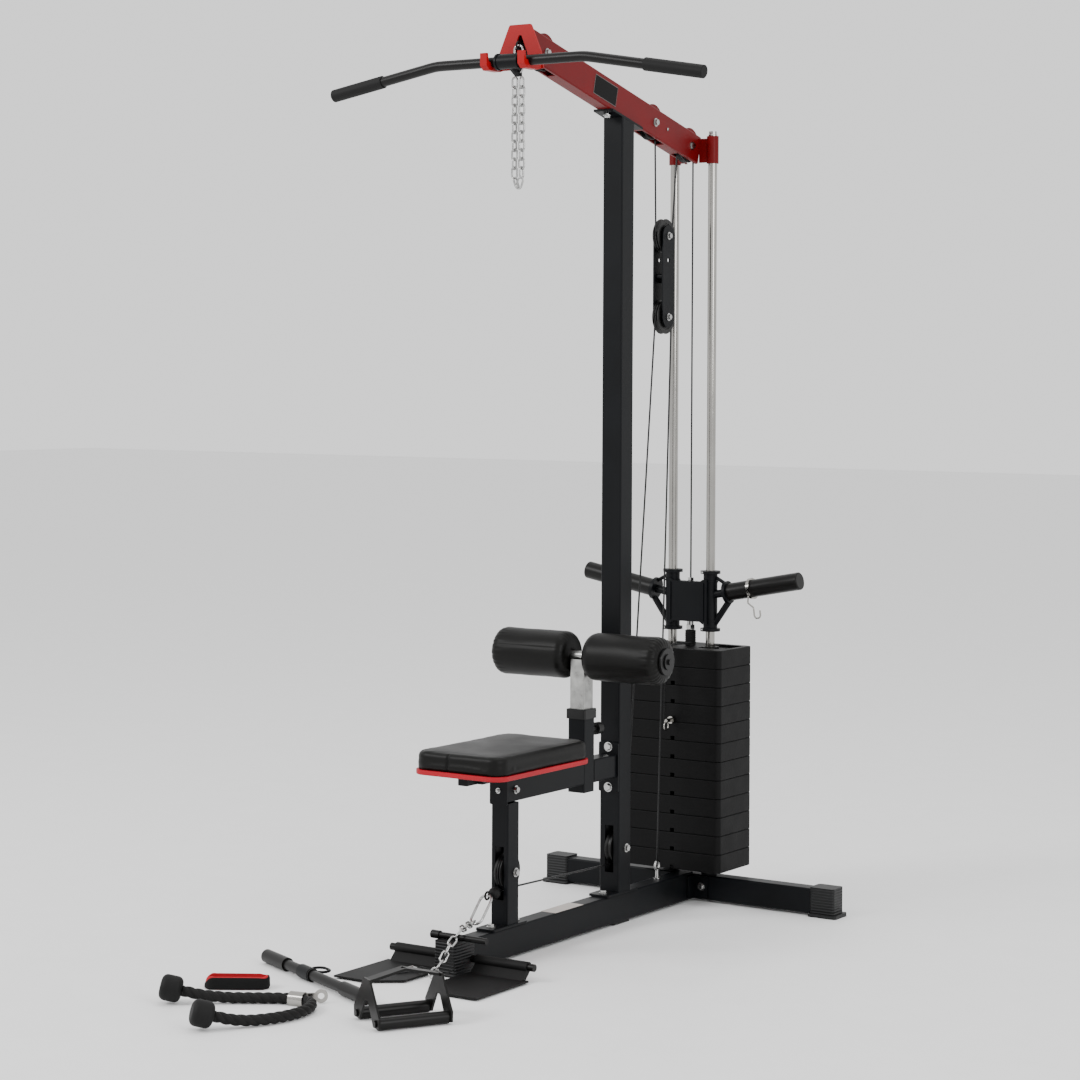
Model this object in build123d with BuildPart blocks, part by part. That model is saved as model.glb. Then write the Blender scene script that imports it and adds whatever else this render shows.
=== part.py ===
from build123d import *
import os
from math import asin as math_asin, atan, cos, degrees, radians as math_radians, tan as math_tan

os.makedirs("parts", exist_ok=True)

# Multi station home gym, in millimetres. +Z is up, the user faces +Y, +X is the user's right.
# The origin is on the floor under the centre of the upright.

# ---------------------------------------------------------------- driving dimensions
fit_gap = 0.4                 # air between parts that only pass each other

base_w, base_z0, base_z1 = 50, 6, 80
base_y0, base_y1 = -722, 367
cap_w, cap_y0 = 62, -772

stab_y0, stab_y1 = 367.2, 417
stab_z0, stab_z1 = 6, 74
stab_half = 432

upright_w = 60
upright_z0 = 86
post_w = 50
post_y = -516
post_z0, post_z1 = 86, 386
wall = 2.5

slope = 0.25                  # fall of the boom per millimetre of depth
boom_w = 42
boom_bot0, boom_top0 = 2122, 2201.6      # boom underside and top above the upright's centre
boom_front, boom_rear = -464, 386
boom_mid0 = (boom_bot0 + boom_top0) / 2

pulley_r, pulley_t = 46, 22
cable_r = 2.4
big_groove_r, small_groove_r = 39, 29  # the small groove keeps the cable under the boom's top wall
axle_r = 5
front_y, mid_y, rear_y = -378, 152, 346
block_y, block_top_z, block_low_z = 233, 1823, 1603
foot_pulley_y, foot_pulley_z = 6, 199
post_pulley_y, post_pulley_z = -507, 213

rod_x, rod_y, rod_r = 60, 392.5, 12.5
rod_top = 2108
sleeve_r = 19.5

stack_n = 12
lifted_n = 4
stack_z1, stack_pitch = 699.6, 50.3
stack_half, stack_y0, stack_y1 = 146, 293, 476
stem_y, stem_r = 388, 9

car_z0, car_z1 = 742, 908
horn_root, horn_tip = (120, 852), (338, 893)   # x and z of each horn's axis ends
horn_r = 24

knee_y, knee_out, knee_in = -169, 50, 44
knee_z0, knee_z1 = 368, 574
roller_z, roller_r, roller_x0, roller_x1 = 719, 63, 27, 252

seat_z0, seat_z1 = 389, 449
pad_y0, pad_y1 = -735, -318
pad_half = 133
board_z0, board_z1, pad_z1 = 471, 483, 530

bar_y, bar_z = -517, 2222
bar_r = 13
bar_bend_x, bar_tip_x, bar_drop = 222, 550, 56
grip_len, grip_r = 165, 16.5
hook_x = 56

foot_tube_y, foot_tube_z, foot_tube_r = -700, 35, 9
rear_bar_y, rear_bar_z, rear_bar_r = -745, 92.8, 7.5


def boom_z(y, z0=boom_mid0):
    """Height of a line that runs along the boom, z0 high above the upright's centre."""
    return z0 - slope * y


made = {}
fitted_over = {"cable_end_top": "upper_cable", "cable_end_low": "lower_cable", "rope_swivel": "rope_cord"}


def save(part, name):
    """Labels one finished part and writes it."""
    if name in fitted_over:
        part = part - made[fitted_over[name]]
    made[name] = part
    part.label = name
    export_step(part, f"parts/{name}.step")


def ring_bar(radius_a, radius_b, wire_r):
    """A closed ring, or a stretched one, of round wire, flat in XY: used for links and eyes."""
    with BuildPart() as ring:
        with BuildLine(Plane.XY) as path:
            if radius_a > radius_b + 0.01:
                half = radius_a - radius_b
                Line((-half, radius_b), (half, radius_b))
                ThreePointArc((half, radius_b), (radius_a, 0), (half, -radius_b))
                Line((half, -radius_b), (-half, -radius_b))
                ThreePointArc((-half, -radius_b), (-radius_a, 0), (-half, radius_b))
            else:
                ThreePointArc((radius_a, 0), (0, radius_a), (-radius_a, 0))
                ThreePointArc((-radius_a, 0), (0, -radius_a), (radius_a, 0))
        start = path.wire() @ 0
        with BuildSketch(Plane(origin=start, z_dir=path.wire() % 0)):
            Circle(wire_r)
        sweep()
    return ring.part


def rod_between(a, b, radius):
    """A round rod from point a to point b."""
    line = Vector(*b) - Vector(*a)
    with BuildPart() as rod:
        with BuildSketch(Plane(origin=a, z_dir=line)):
            Circle(radius)
        extrude(amount=line.length)
    return rod.part


def square_tube_z(x, y, width, depth, z0, z1, thick=wall, round_r=4):
    """An upright rectangular tube, open at both ends."""
    with BuildPart() as tube:
        with BuildSketch(Plane.XY.offset(z0)):
            with Locations((x, y)):
                RectangleRounded(width, depth, round_r)
                RectangleRounded(width - 2 * thick, depth - 2 * thick, max(round_r - thick, 0.5),
                                 mode=Mode.SUBTRACT)
        extrude(amount=z1 - z0)
    return tube.part


# ---------------------------------------------------------------- base
with BuildPart() as base_tube:
    with BuildSketch(Plane.XZ.offset(-base_y0)):
        with Locations((0, (base_z0 + base_z1) / 2)):
            RectangleRounded(base_w, base_z1 - base_z0, 5)
            RectangleRounded(base_w - 5, base_z1 - base_z0 - 5, 2.5, mode=Mode.SUBTRACT)
    extrude(amount=-(base_y1 - base_y0))
    with BuildSketch(Plane.YZ):
        with Locations((foot_tube_y, foot_tube_z)):
            Circle(foot_tube_r + 0.05)
    extrude(amount=60, both=True, mode=Mode.SUBTRACT)
save(base_tube.part, "base_tube")

with BuildPart() as stabilizer:
    with BuildSketch(Plane.YZ.offset(-stab_half)):
        with Locations(((stab_y0 + stab_y1) / 2, (stab_z0 + stab_z1) / 2)):
            RectangleRounded(stab_y1 - stab_y0, stab_z1 - stab_z0, 5)
            RectangleRounded(stab_y1 - stab_y0 - 5, stab_z1 - stab_z0 - 5, 2.5, mode=Mode.SUBTRACT)
    extrude(amount=2 * stab_half)
save(stabilizer.part, "rear_stabilizer")

# Ribbed rubber shoes on the three free ends of the base; they are what stands on the floor.
shoe_t = 5
with BuildPart() as shoes:
    with BuildSketch(Plane.XY):
        with Locations((0, (cap_y0 + base_y0 + 34) / 2)):
            RectangleRounded(cap_w, base_y0 + 34 - cap_y0, 6)
    extrude(amount=base_z1 + shoe_t)
    with BuildSketch(Plane.XZ.offset(-base_y0)):
        with Locations((0, (base_z0 + base_z1) / 2)):
            RectangleRounded(base_w + 0.1, base_z1 - base_z0 + 0.1, 5)
    extrude(amount=-90, mode=Mode.SUBTRACT)
    with BuildSketch(Plane.XZ.offset(-cap_y0)):
        with GridLocations(1, 8, 1, 9):
            with Locations((0, 43)):
                Rectangle(cap_w + 4, 2)
    extrude(amount=-1.5, mode=Mode.SUBTRACT)
    for side in (-1, 1):
        with BuildSketch(Plane.XY):
            with Locations((side * (stab_half - 10), (stab_y0 + stab_y1) / 2)):
                RectangleRounded(72, stab_y1 - stab_y0 + 2 * shoe_t, 8)
        extrude(amount=stab_z1 + shoe_t)
        with BuildSketch(Plane.XY):
            with Locations((side * (stab_half - 7), (stab_y0 + stab_y1) / 2)):
                RectangleRounded(84, stab_y1 - stab_y0 + 2 * shoe_t + 12, 8)
        extrude(amount=10)
        with BuildSketch(Plane.YZ.offset(stab_half - 52 if side > 0 else -stab_half - 0.1)):
            with Locations(((stab_y0 + stab_y1) / 2, (stab_z0 + stab_z1) / 2)):
                RectangleRounded(stab_y1 - stab_y0 + 0.1, stab_z1 - stab_z0 + 0.1, 5)
        extrude(amount=52.1, mode=Mode.SUBTRACT)
    with Locations((-rod_x, rod_y, stab_z1), (rod_x, rod_y, stab_z1)):
        Cylinder(22, stack_z1 - stack_n * stack_pitch - stab_z1, align=(Align.CENTER, Align.CENTER, Align.MIN))
        Cylinder(rod_r + 0.05, 40, align=(Align.CENTER, Align.CENTER, Align.MIN), mode=Mode.SUBTRACT)
    with BuildSketch(Plane.XY):
        RectangleRounded(44, 80, 5)
    extrude(amount=base_z0)
    with BuildSketch(Plane.YZ):
        with Locations((foot_tube_y, foot_tube_z)):
            Circle(foot_tube_r + 0.05)
    extrude(amount=60, both=True, mode=Mode.SUBTRACT)
save(shoes.part, "rubber_shoes")

# Foot bars: the long tube the foot plates hinge on, and the short capped bar that lies on the shoe.
foot_tube_half = 212
with BuildPart() as foot_bars:
    with BuildSketch(Plane.YZ.offset(-foot_tube_half)):
        with Locations((foot_tube_y, foot_tube_z)):
            Circle(foot_tube_r)
    extrude(amount=2 * foot_tube_half)
    with BuildSketch(Plane.YZ.offset(-52)):
        with Locations((rear_bar_y, rear_bar_z)):
            Circle(rear_bar_r)
    extrude(amount=156)
    with BuildSketch(Plane.YZ.offset(-56)):
        with Locations((rear_bar_y, rear_bar_z)):
            Circle(rear_bar_r + 2.5)
    extrude(amount=24)
save(foot_bars.part, "foot_bars")

# Foot plates: folded up against the user's feet or flat on the floor, one knuckle each.
plate_t, plate_z = 4, 4
for name, side in (("foot_plate_left", -1), ("foot_plate_right", 1)):
    with BuildPart() as foot_plate:
        with BuildSketch(Plane.XY.offset(plate_z)):
            with BuildLine():
                Polyline((side * 37, -720), (side * 208, -720), (side * 208, -936), (side * 112, -936),
                         (side * 37, -880), close=True)
            make_face()
        extrude(amount=plate_t)
        with BuildSketch(Plane.YZ.offset(side * 45)):
            with BuildLine():
                Polyline((-726, plate_z), (-700, 18), (-700, 27), (-728, plate_z + plate_t), close=True)
            make_face()
            with Locations((foot_tube_y, foot_tube_z)):
                Circle(foot_tube_r + 3.5)
            with BuildLine():
                Polyline((-733, plate_z), (-709, 28), (-691, 28), (-716, plate_z), close=True)
            make_face()
            with Locations((foot_tube_y, foot_tube_z)):
                Circle(foot_tube_r + 0.06, mode=Mode.SUBTRACT)
        extrude(amount=side * 150)
    save(foot_plate.part, name)

# ---------------------------------------------------------------- uprights
pulley_slot_w = 26


def slotted(tube, y, z, width, half_z):
    """Cuts a tube's front and rear walls for a pulley."""
    with BuildPart() as cut:
        add(tube)
        with BuildSketch(Plane.XZ.offset(-y)):
            with Locations((0, z)):
                Rectangle(width, 2 * half_z)
        extrude(amount=80, both=True, mode=Mode.SUBTRACT)
    return cut.part


with BuildPart() as upright:
    add(slotted(square_tube_z(0, 0, upright_w, upright_w, upright_z0, 2160), 0, foot_pulley_z,
                pulley_slot_w, 62))
    with BuildSketch(Plane.YZ.offset(-60)):
        with BuildLine():
            Polyline((-60, boom_z(-60, boom_bot0) - 6.5), (60, boom_z(60, boom_bot0) - 6.5), (60, 2300),
                     (-60, 2300), close=True)
        make_face()
    extrude(amount=120, mode=Mode.SUBTRACT)
    with BuildSketch(Plane.YZ.offset(-50)):
        with Locations((foot_pulley_y, foot_pulley_z)):
            Circle(axle_r + 0.05)
    extrude(amount=100, mode=Mode.SUBTRACT)
    for hole_z in (362, 468):
        with BuildSketch(Plane.XZ.offset(60)):
            with Locations((0, hole_z)):
                Circle(5.1)
        extrude(amount=-60, mode=Mode.SUBTRACT)
save(upright.part, "upright")

with BuildPart() as seat_post:
    add(slotted(square_tube_z(0, post_y, post_w, post_w, post_z0, post_z1), post_y, post_pulley_z,
                pulley_slot_w, 66))
    with BuildSketch(Plane.YZ.offset(-50)):
        with Locations((post_pulley_y, post_pulley_z)):
            Circle(axle_r + 0.05)
    extrude(amount=100, mode=Mode.SUBTRACT)
save(seat_post.part, "seat_post")

# Welded flanges: under the upright, under the seat post, under the boom, and the base's corner angles.
with BuildPart() as flanges:
    with BuildSketch(Plane.XY.offset(base_z1)):
        with Locations((0, -8)):
            RectangleRounded(62, 150, 6)
        with Locations((0, post_y - 14)):
            RectangleRounded(56, 150, 6)
        with Locations((0, -58), (0, 42), (0, post_y - 60), (0, post_y + 46)):
            Circle(5.1, mode=Mode.SUBTRACT)
    extrude(amount=upright_z0 - base_z1)
    with BuildSketch(Plane.YZ.offset(-30)):
        with BuildLine():
            Polyline((-78, boom_z(-78, boom_bot0) - 6), (72, boom_z(72, boom_bot0) - 6),
                     (72, boom_z(72, boom_bot0)), (-78, boom_z(-78, boom_bot0)), close=True)
        make_face()
    extrude(amount=60)
    with BuildSketch(Plane.XY):
        with Locations((0, -58), (0, 52)):
            Circle(5.1)
    extrude(amount=2300, mode=Mode.SUBTRACT)
    for side in (-1, 1):
        with BuildSketch(Plane.XY.offset(14)):
            with BuildLine():
                Polyline((side * 25.2, 330), (side * 31.2, 330), (side * 31.2, 361), (side * 72, 361),
                         (side * 72, 367), (side * 25.2, 367), close=True)
            make_face()
        extrude(amount=58)
    with BuildSketch(Plane.XZ.offset(-300)):
        with Locations((-54, 43), (54, 43)):
            Circle(5.1)
    extrude(amount=-100, mode=Mode.SUBTRACT)
save(flanges.part, "flange_plates")

# ---------------------------------------------------------------- boom
run_cos = cos(atan(slope))
boom_wall = 3
with BuildPart() as boom:
    with BuildSketch(Plane.YZ.offset(-boom_w / 2)):
        with BuildLine():
            Polyline((boom_front, boom_z(boom_front, boom_bot0)), (boom_front, boom_z(boom_front, boom_top0)),
                     (boom_rear + 10, boom_z(boom_rear + 10, boom_top0)),
                     (boom_rear - 8, boom_z(boom_rear - 8, boom_bot0)), close=True)
        make_face()
    extrude(amount=boom_w)
    fillet(boom.edges().filter_by(lambda e: abs(e.tangent_at(0.5).Y) > 0.9), 4)
    for hump_y in (front_y, mid_y, rear_y):
        with BuildSketch(Plane.YZ.offset(-14)):
            with Locations((hump_y, boom_z(hump_y))):
                Circle(pulley_r + 3.6)
            with BuildLine():
                Polyline((hump_y - 90, boom_z(hump_y - 90)), (hump_y + 90, boom_z(hump_y + 90)),
                         (hump_y + 90, boom_z(hump_y + 90) - 90), (hump_y - 90, boom_z(hump_y - 90) - 90),
                         close=True)
            make_face(mode=Mode.SUBTRACT)
        extrude(amount=28)
    with BuildSketch(Plane.YZ.offset(-boom_w / 2 + boom_wall)):
        with BuildLine():
            Polyline((boom_front - 5, boom_z(boom_front - 5, boom_bot0 + 3)),
                     (boom_front - 5, boom_z(boom_front - 5, boom_top0 - 3)),
                     (boom_rear + 40, boom_z(boom_rear + 40, boom_top0 - 3)),
                     (boom_rear + 40, boom_z(boom_rear + 40, boom_bot0 + 3)), close=True)
        make_face()
    extrude(amount=boom_w - 2 * boom_wall, mode=Mode.SUBTRACT)
    for hump_y in (front_y, mid_y, rear_y):
        with BuildSketch(Plane.YZ.offset(-12)):
            with Locations((hump_y, boom_z(hump_y))):
                Circle(pulley_r + 1.4)
        extrude(amount=24, mode=Mode.SUBTRACT)
        with BuildSketch(Plane.YZ.offset(-40)):
            with Locations((hump_y, boom_z(hump_y))):
                Circle(axle_r + 0.05)
        extrude(amount=80, mode=Mode.SUBTRACT)
    for y0, y1 in ((boom_front - 5, front_y + 52), (mid_y - 55, mid_y + 60), (rear_y - 60, boom_rear + 20)):
        with BuildSketch(Plane.YZ.offset(-12)):
            with BuildLine():
                Polyline((y0, boom_z(y0)), (y1, boom_z(y1)), (y1, boom_z(y1) - 80), (y0, boom_z(y0) - 80),
                         close=True)
            make_face()
        extrude(amount=24, mode=Mode.SUBTRACT)
    with BuildSketch(Plane.XY.offset(2050)):
        with Locations((0, -58), (0, 52)):
            Circle(5.1)
    extrude(amount=100, mode=Mode.SUBTRACT)
save(boom.part, "top_boom")

# The A-shaped face at the boom's front with the slot the cable end hangs in, and the two bar hooks.
face_t = 5
with BuildPart() as cradle:
    with BuildSketch(Plane.XZ.offset(-(boom_front - 0.1))):
        with BuildLine():
            Polyline((-32, 2319), (32, 2319), (62, 2250), (70, 2206), (-70, 2206), (-62, 2250), close=True)
        make_face()
        fillet(vertices().group_by(Axis.Y)[-1], 6)
        with BuildLine():
            Polyline((-4, 2292), (4, 2292), (22, 2247), (30, 2200), (-30, 2200), (-22, 2247), close=True)
        make_face(mode=Mode.SUBTRACT)
    extrude(amount=face_t)
    hook_y0 = boom_front - 0.1 - face_t
    for side in (-1, 1):
        with BuildSketch(Plane.YZ.offset(side * hook_x - 10)):
            with BuildLine():
                Polyline((hook_y0, 2206), (hook_y0, 2234), (bar_y + 22, 2234), (bar_y + 22, bar_z),
                         (bar_y - 22, bar_z), (bar_y - 25, 2243), (bar_y - 32, 2243), (bar_y - 31, 2212),
                         (bar_y - 18, 2201), (bar_y + 30, 2201), close=True)
            make_face()
            with Locations((bar_y, bar_z)):
                Circle(bar_r + 0.4, mode=Mode.SUBTRACT)
            with Locations((bar_y, bar_z + 20)):
                Rectangle(2 * bar_r + 0.8, 40, mode=Mode.SUBTRACT)
        extrude(amount=20)
save(cradle.part, "bar_cradle")

# Rear bracket that carries the guide rods' heads.
with BuildPart() as rod_bracket:
    with BuildSketch(Plane.XY.offset(2028)):
        with Locations((-rod_x, rod_y), (rod_x, rod_y)):
            Circle(16.5)
    extrude(amount=75)
    for side in (-1, 1):
        with BuildSketch(Plane.XZ.offset(-(rod_y - 8))):
            with Locations((side * (rod_x + boom_w / 2) / 2, 2064)):
                Rectangle(rod_x - boom_w / 2 - 0.1, 66)
        extrude(amount=-6)
    with BuildSketch(Plane.XY.offset(2000)):
        with Locations((-rod_x, rod_y), (rod_x, rod_y)):
            Circle(rod_r + 0.05)
    extrude(amount=140, mode=Mode.SUBTRACT)
save(rod_bracket.part, "rod_bracket")

with BuildPart() as guide_rods:
    with BuildSketch(Plane.XY.offset(stab_z1)):
        with Locations((-rod_x, rod_y), (rod_x, rod_y)):
            Circle(rod_r)
    extrude(amount=rod_top - stab_z1)
    chamfer(guide_rods.edges().filter_by(GeomType.CIRCLE).group_by(Axis.Z)[-1], 1.2)
save(guide_rods.part, "guide_rods")

# ---------------------------------------------------------------- seat
knee_hole = knee_out + 0.2
with BuildPart() as seat_frame:
    with BuildSketch(Plane.XZ.offset(36)):
        with Locations((0, (seat_z0 + seat_z1) / 2)):
            RectangleRounded(50, seat_z1 - seat_z0, 5)
            RectangleRounded(45, seat_z1 - seat_z0 - 5, 2.5, mode=Mode.SUBTRACT)
    extrude(amount=-(post_y + 36 - 28))
    with BuildSketch(Plane.XY.offset(seat_z0 - 20)):
        with Locations((0, knee_y)):
            Rectangle(knee_hole, knee_hole)
    extrude(amount=120, mode=Mode.SUBTRACT)
    with BuildSketch(Plane.XZ.offset(upright_w / 2)):
        with Locations((0, 415)):
            RectangleRounded(60, 130, 5)
        with Locations((0, 362), (0, 468)):
            Circle(5.1, mode=Mode.SUBTRACT)
    extrude(amount=6)
    with BuildSketch(Plane.XZ.offset(-(post_y - 31))):
        with Locations((0, 416)):
            RectangleRounded(52, 66, 4)
    extrude(amount=-3)
    with BuildSketch(Plane.YZ.offset(-40)):
        with Locations((post_y + 8, 418)):
            Circle(4.1)
    extrude(amount=80, mode=Mode.SUBTRACT)
    with BuildSketch(Plane.XZ.offset(-(post_y - 40))):
        with Locations((0, 418)):
            Circle(5.1)
    extrude(amount=-30, mode=Mode.SUBTRACT)
with BuildPart() as seat_brackets:
    for cross_y in (-655, -420):
        with BuildSketch(Plane.XZ.offset(-cross_y)):
            with BuildLine():
                Polyline((-92, board_z0), (92, board_z0), (92, board_z0 - 4), (34, board_z0 - 4),
                         (27, board_z0 - 22), (-27, board_z0 - 22), (-34, board_z0 - 4), (-92, board_z0 - 4),
                         close=True)
            make_face()
        extrude(amount=-34)
    add(seat_frame.part)
    with BuildSketch(Plane.XZ.offset(700)):
        with Locations((0, board_z0 - 11)):
            RectangleRounded(28, 22, 2)
    extrude(amount=-185)
    with BuildSketch(Plane.XY.offset(300)):
        with Locations((0, -640), (0, -560), (0, -403)):
            Circle(4.1)
    extrude(amount=170, mode=Mode.SUBTRACT)
save(seat_brackets.part, "seat_frame")

knee_tube = square_tube_z(0, knee_y, knee_out, knee_out, knee_z0, knee_z1)
with BuildPart() as knee_sleeve:
    add(knee_tube)
    with BuildSketch(Plane.XZ.offset(-knee_y)):
        with Locations((0, 523)):
            Circle(6.05)
    extrude(amount=-60, mode=Mode.SUBTRACT)
save(knee_sleeve.part, "knee_sleeve")

with BuildPart() as knee_collar:
    with BuildSketch(Plane.XY.offset(knee_z1 - 16)):
        with Locations((0, knee_y)):
            RectangleRounded(knee_out + 9, knee_out + 9, 6)
            RectangleRounded(knee_out + 0.1, knee_out + 0.1, 4, mode=Mode.SUBTRACT)
    extrude(amount=16)
    with BuildSketch(Plane.XY.offset(knee_z1)):
        with Locations((0, knee_y)):
            RectangleRounded(knee_out + 9, knee_out + 9, 6)
            RectangleRounded(knee_in + 0.6, knee_in + 0.6, 3.4, mode=Mode.SUBTRACT)
    extrude(amount=9)
    chamfer(knee_collar.edges().group_by(Axis.Z)[-1], 1.5)
save(knee_collar.part, "knee_collar")

pin_z = 523
with BuildPart() as knee_post:
    add(square_tube_z(0, knee_y, knee_in, knee_in, 430, roller_z - 8, thick=3, round_r=3))
    with BuildSketch(Plane.YZ.offset(-roller_x1 - 8)):
        with Locations((knee_y, roller_z)):
            Circle(12.5)
    extrude(amount=2 * roller_x1 + 16)
    with BuildSketch(Plane.XZ.offset(-knee_y)):
        with Locations([(0, pin_z - 40 * k) for k in range(3)]):
            Circle(5.4)
    extrude(amount=-40, mode=Mode.SUBTRACT)
save(knee_post.part, "knee_post")

for name, side in (("roller_left", -1), ("roller_right", 1)):
    length = roller_x1 - roller_x0
    with BuildPart() as roller:
        with BuildSketch(Plane.YZ.offset(side * roller_x0)):
            with Locations((knee_y, roller_z)):
                Circle(roller_r)
        extrude(amount=side * length)
        fillet(roller.edges().filter_by(GeomType.CIRCLE), 18)
        with BuildSketch(Plane.YZ.offset(side * (roller_x0 - 2))):
            with Locations((knee_y, roller_z)):
                Circle(12.8)
        extrude(amount=side * (length + 4), mode=Mode.SUBTRACT)
    save(roller.part, name)

with BuildPart() as roller_ends:
    for side in (-1, 1):
        with BuildSketch(Plane.YZ.offset(side * (roller_x1 + 1))):
            with Locations((knee_y, roller_z)):
                Circle(34)
                Circle(12.55, mode=Mode.SUBTRACT)
        extrude(amount=side * 6)
        with BuildSketch(Plane.YZ.offset(side * (roller_x1 + 8.1))):
            with Locations((knee_y, roller_z)):
                Circle(20)
        extrude(amount=side * 3)
        with BuildSketch(Plane.YZ.offset(side * (roller_x1 + 11.1))):
            with Locations((knee_y, roller_z)):
                RegularPolygon(8, 6)
        extrude(amount=side * 5)
save(roller_ends.part, "roller_end_discs")

# Spring pin behind the knee post: knob, stem and plunger.
with BuildPart() as knob:
    pin_face = knee_y + knee_out / 2
    for y0, y1, radius in ((knee_y + knee_in / 2 + 0.4, pin_face + 18, 5.0), (pin_face + 6.2, pin_face + 40, 8),
                           (pin_face + 40, pin_face + 66, 16)):
        with BuildSketch(Plane.XZ.offset(-y0)):
            with Locations((0, pin_z)):
                Circle(radius)
        extrude(amount=-(y1 - y0))
    fillet(knob.faces().sort_by(Axis.Y)[-1].edges(), 6)
save(knob.part, "spring_pin")

with BuildPart() as seat_board:
    with BuildSketch(Plane.XY.offset(board_z0)):
        with Locations((0, (pad_y0 + pad_y1) / 2)):
            RectangleRounded(2 * pad_half, pad_y1 - pad_y0, 38)
    extrude(amount=board_z1 - board_z0)
    fillet(seat_board.edges().group_by(Axis.Z)[0], 3)
save(seat_board.part, "seat_board")

with BuildPart() as seat_pad:
    with BuildSketch(Plane.XY.offset(board_z1 + 0.2)):
        with Locations((0, (pad_y0 + pad_y1) / 2)):
            RectangleRounded(2 * pad_half - 4, pad_y1 - pad_y0 - 4, 36)
    extrude(amount=pad_z1 - board_z1)
    fillet(seat_pad.edges().group_by(Axis.Z)[-1], 11)
save(seat_pad.part, "seat_pad")


# ---------------------------------------------------------------- weight stack
pin_groove = 5.5              # height of a plate's pin groove centre above the plate's underside


def weight_plates(first, count):
    """A run of stack plates, counted from the top, each bored for the rods and the stem."""
    with BuildPart() as plates:
        for k in range(first, first + count):
            top = stack_z1 - k * stack_pitch
            bottom = top - stack_pitch + 0.6
            with BuildSketch(Plane.XY.offset(bottom)):
                with Locations((0, (stack_y0 + stack_y1) / 2)):
                    RectangleRounded(2 * stack_half, stack_y1 - stack_y0, 14)
                with Locations((-rod_x, rod_y), (rod_x, rod_y)):
                    Circle(rod_r + 2.5, mode=Mode.SUBTRACT)
                with Locations((0, stem_y)):
                    Circle(stem_r + 3, mode=Mode.SUBTRACT)
            extrude(amount=top - bottom)
            with BuildSketch(Plane.XY.offset(bottom - 1)):
                with Locations((0, (stack_y0 + stem_y) / 2 - 10)):
                    Rectangle(13, stem_y - stack_y0 + 20)
            extrude(amount=12, mode=Mode.SUBTRACT)
        outer = plates.edges().filter_by(Axis.Z, reverse=True).filter_by(
            lambda e: abs(abs(e.center().X) - stack_half) < 9 or e.center().Y > stack_y1 - 9)
        fillet(outer, 2.5)
        if first == 0:
            for side in (-1, 1):
                with BuildSketch(Plane.XY.offset(stack_z1 - 7)):
                    with Locations((side * 88, rod_y + 6)):
                        RectangleRounded(84, 110, 12)
                        with Locations((side * -28, -6)):
                            Circle(24, mode=Mode.SUBTRACT)
                extrude(amount=8, mode=Mode.SUBTRACT)
    return plates.part


save(weight_plates(0, lifted_n), "weight_plates_lifted")
save(weight_plates(lifted_n, stack_n - lifted_n), "weight_plates_resting")

# Stem that hangs from the carriage through the stack, one cross hole for each plate.
stem_z0 = stack_z1 - stack_n * stack_pitch - 4
with BuildPart() as stem:
    with BuildSketch(Plane.XY.offset(stem_z0)):
        with Locations((0, stem_y)):
            Circle(stem_r)
    extrude(amount=770 - stem_z0)
    with BuildSketch(Plane.XZ):
        with Locations([(0, stack_z1 - (k + 1) * stack_pitch + 0.6 + pin_groove) for k in range(stack_n)]):
            Circle(4.9)
    extrude(amount=-600, mode=Mode.SUBTRACT)
    with BuildSketch(Plane.XY.offset(745)):
        with Locations((0, stem_y)):
            RegularPolygon(13, 6)
    extrude(amount=12)
    with BuildSketch(Plane.XY.offset(878)):
        with Locations((0, stem_y)):
            RegularPolygon(9, 6)
    extrude(amount=9)
save(stem.part, "stem")

with BuildPart() as stem_bumper:
    with BuildSketch(Plane.YZ):
        with BuildLine():
            ribs = [(stem_y + stem_r + 0.1, 700)]
            for k in range(7):
                ribs += [(stem_y + 15, 701 + 6 * k), (stem_y + 15, 705 + 6 * k), (stem_y + 13, 706 + 6 * k)]
            Polyline(*ribs, (stem_y + stem_r + 0.1, 744), close=True)
        make_face()
    revolve(axis=Axis((0, stem_y, 0), (0, 0, 1)))
save(stem_bumper.part, "stem_bumper")

pin_height = stack_z1 - lifted_n * stack_pitch + 0.6 + pin_groove
with BuildPart() as selector_pin:
    for y0, y1, radius in ((stack_y0 - 4, stem_y + 10, 4.4), (stack_y0 - 12, stack_y0 - 3, 10),
                           (stack_y0 - 38, stack_y0 - 12, 5.5)):
        with BuildSketch(Plane.XZ.offset(-y0)):
            with Locations((0, pin_height)):
                Circle(radius)
        extrude(amount=-(y1 - y0))
    fillet(selector_pin.faces().sort_by(Axis.Y)[0].edges(), 2)
    add(ring_bar(11, 11, 1.8).moved(Location((0, stack_y0 - 34, pin_height - 13.5), (0, 90, 0))))
save(selector_pin.part, "selector_pin")

# Coiled lanyard from the stem's foot to the pin's ring, a plain tube along its route.
with BuildPart() as lanyard:
    with BuildLine() as lanyard_path:
        FilletPolyline((12, stem_y - 20, 708), (6, stack_y0 - 14, 712), (2, stack_y0 - 26, 690),
                       (0, stack_y0 - 42, 600), (0, stack_y0 - 44, pin_height + 1), radius=(24, 14, 60))
    with BuildSketch(Plane(origin=lanyard_path.wire() @ 0, z_dir=lanyard_path.wire() % 0)):
        Circle(3)
    sweep()
save(lanyard.part, "pin_lanyard")

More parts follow.
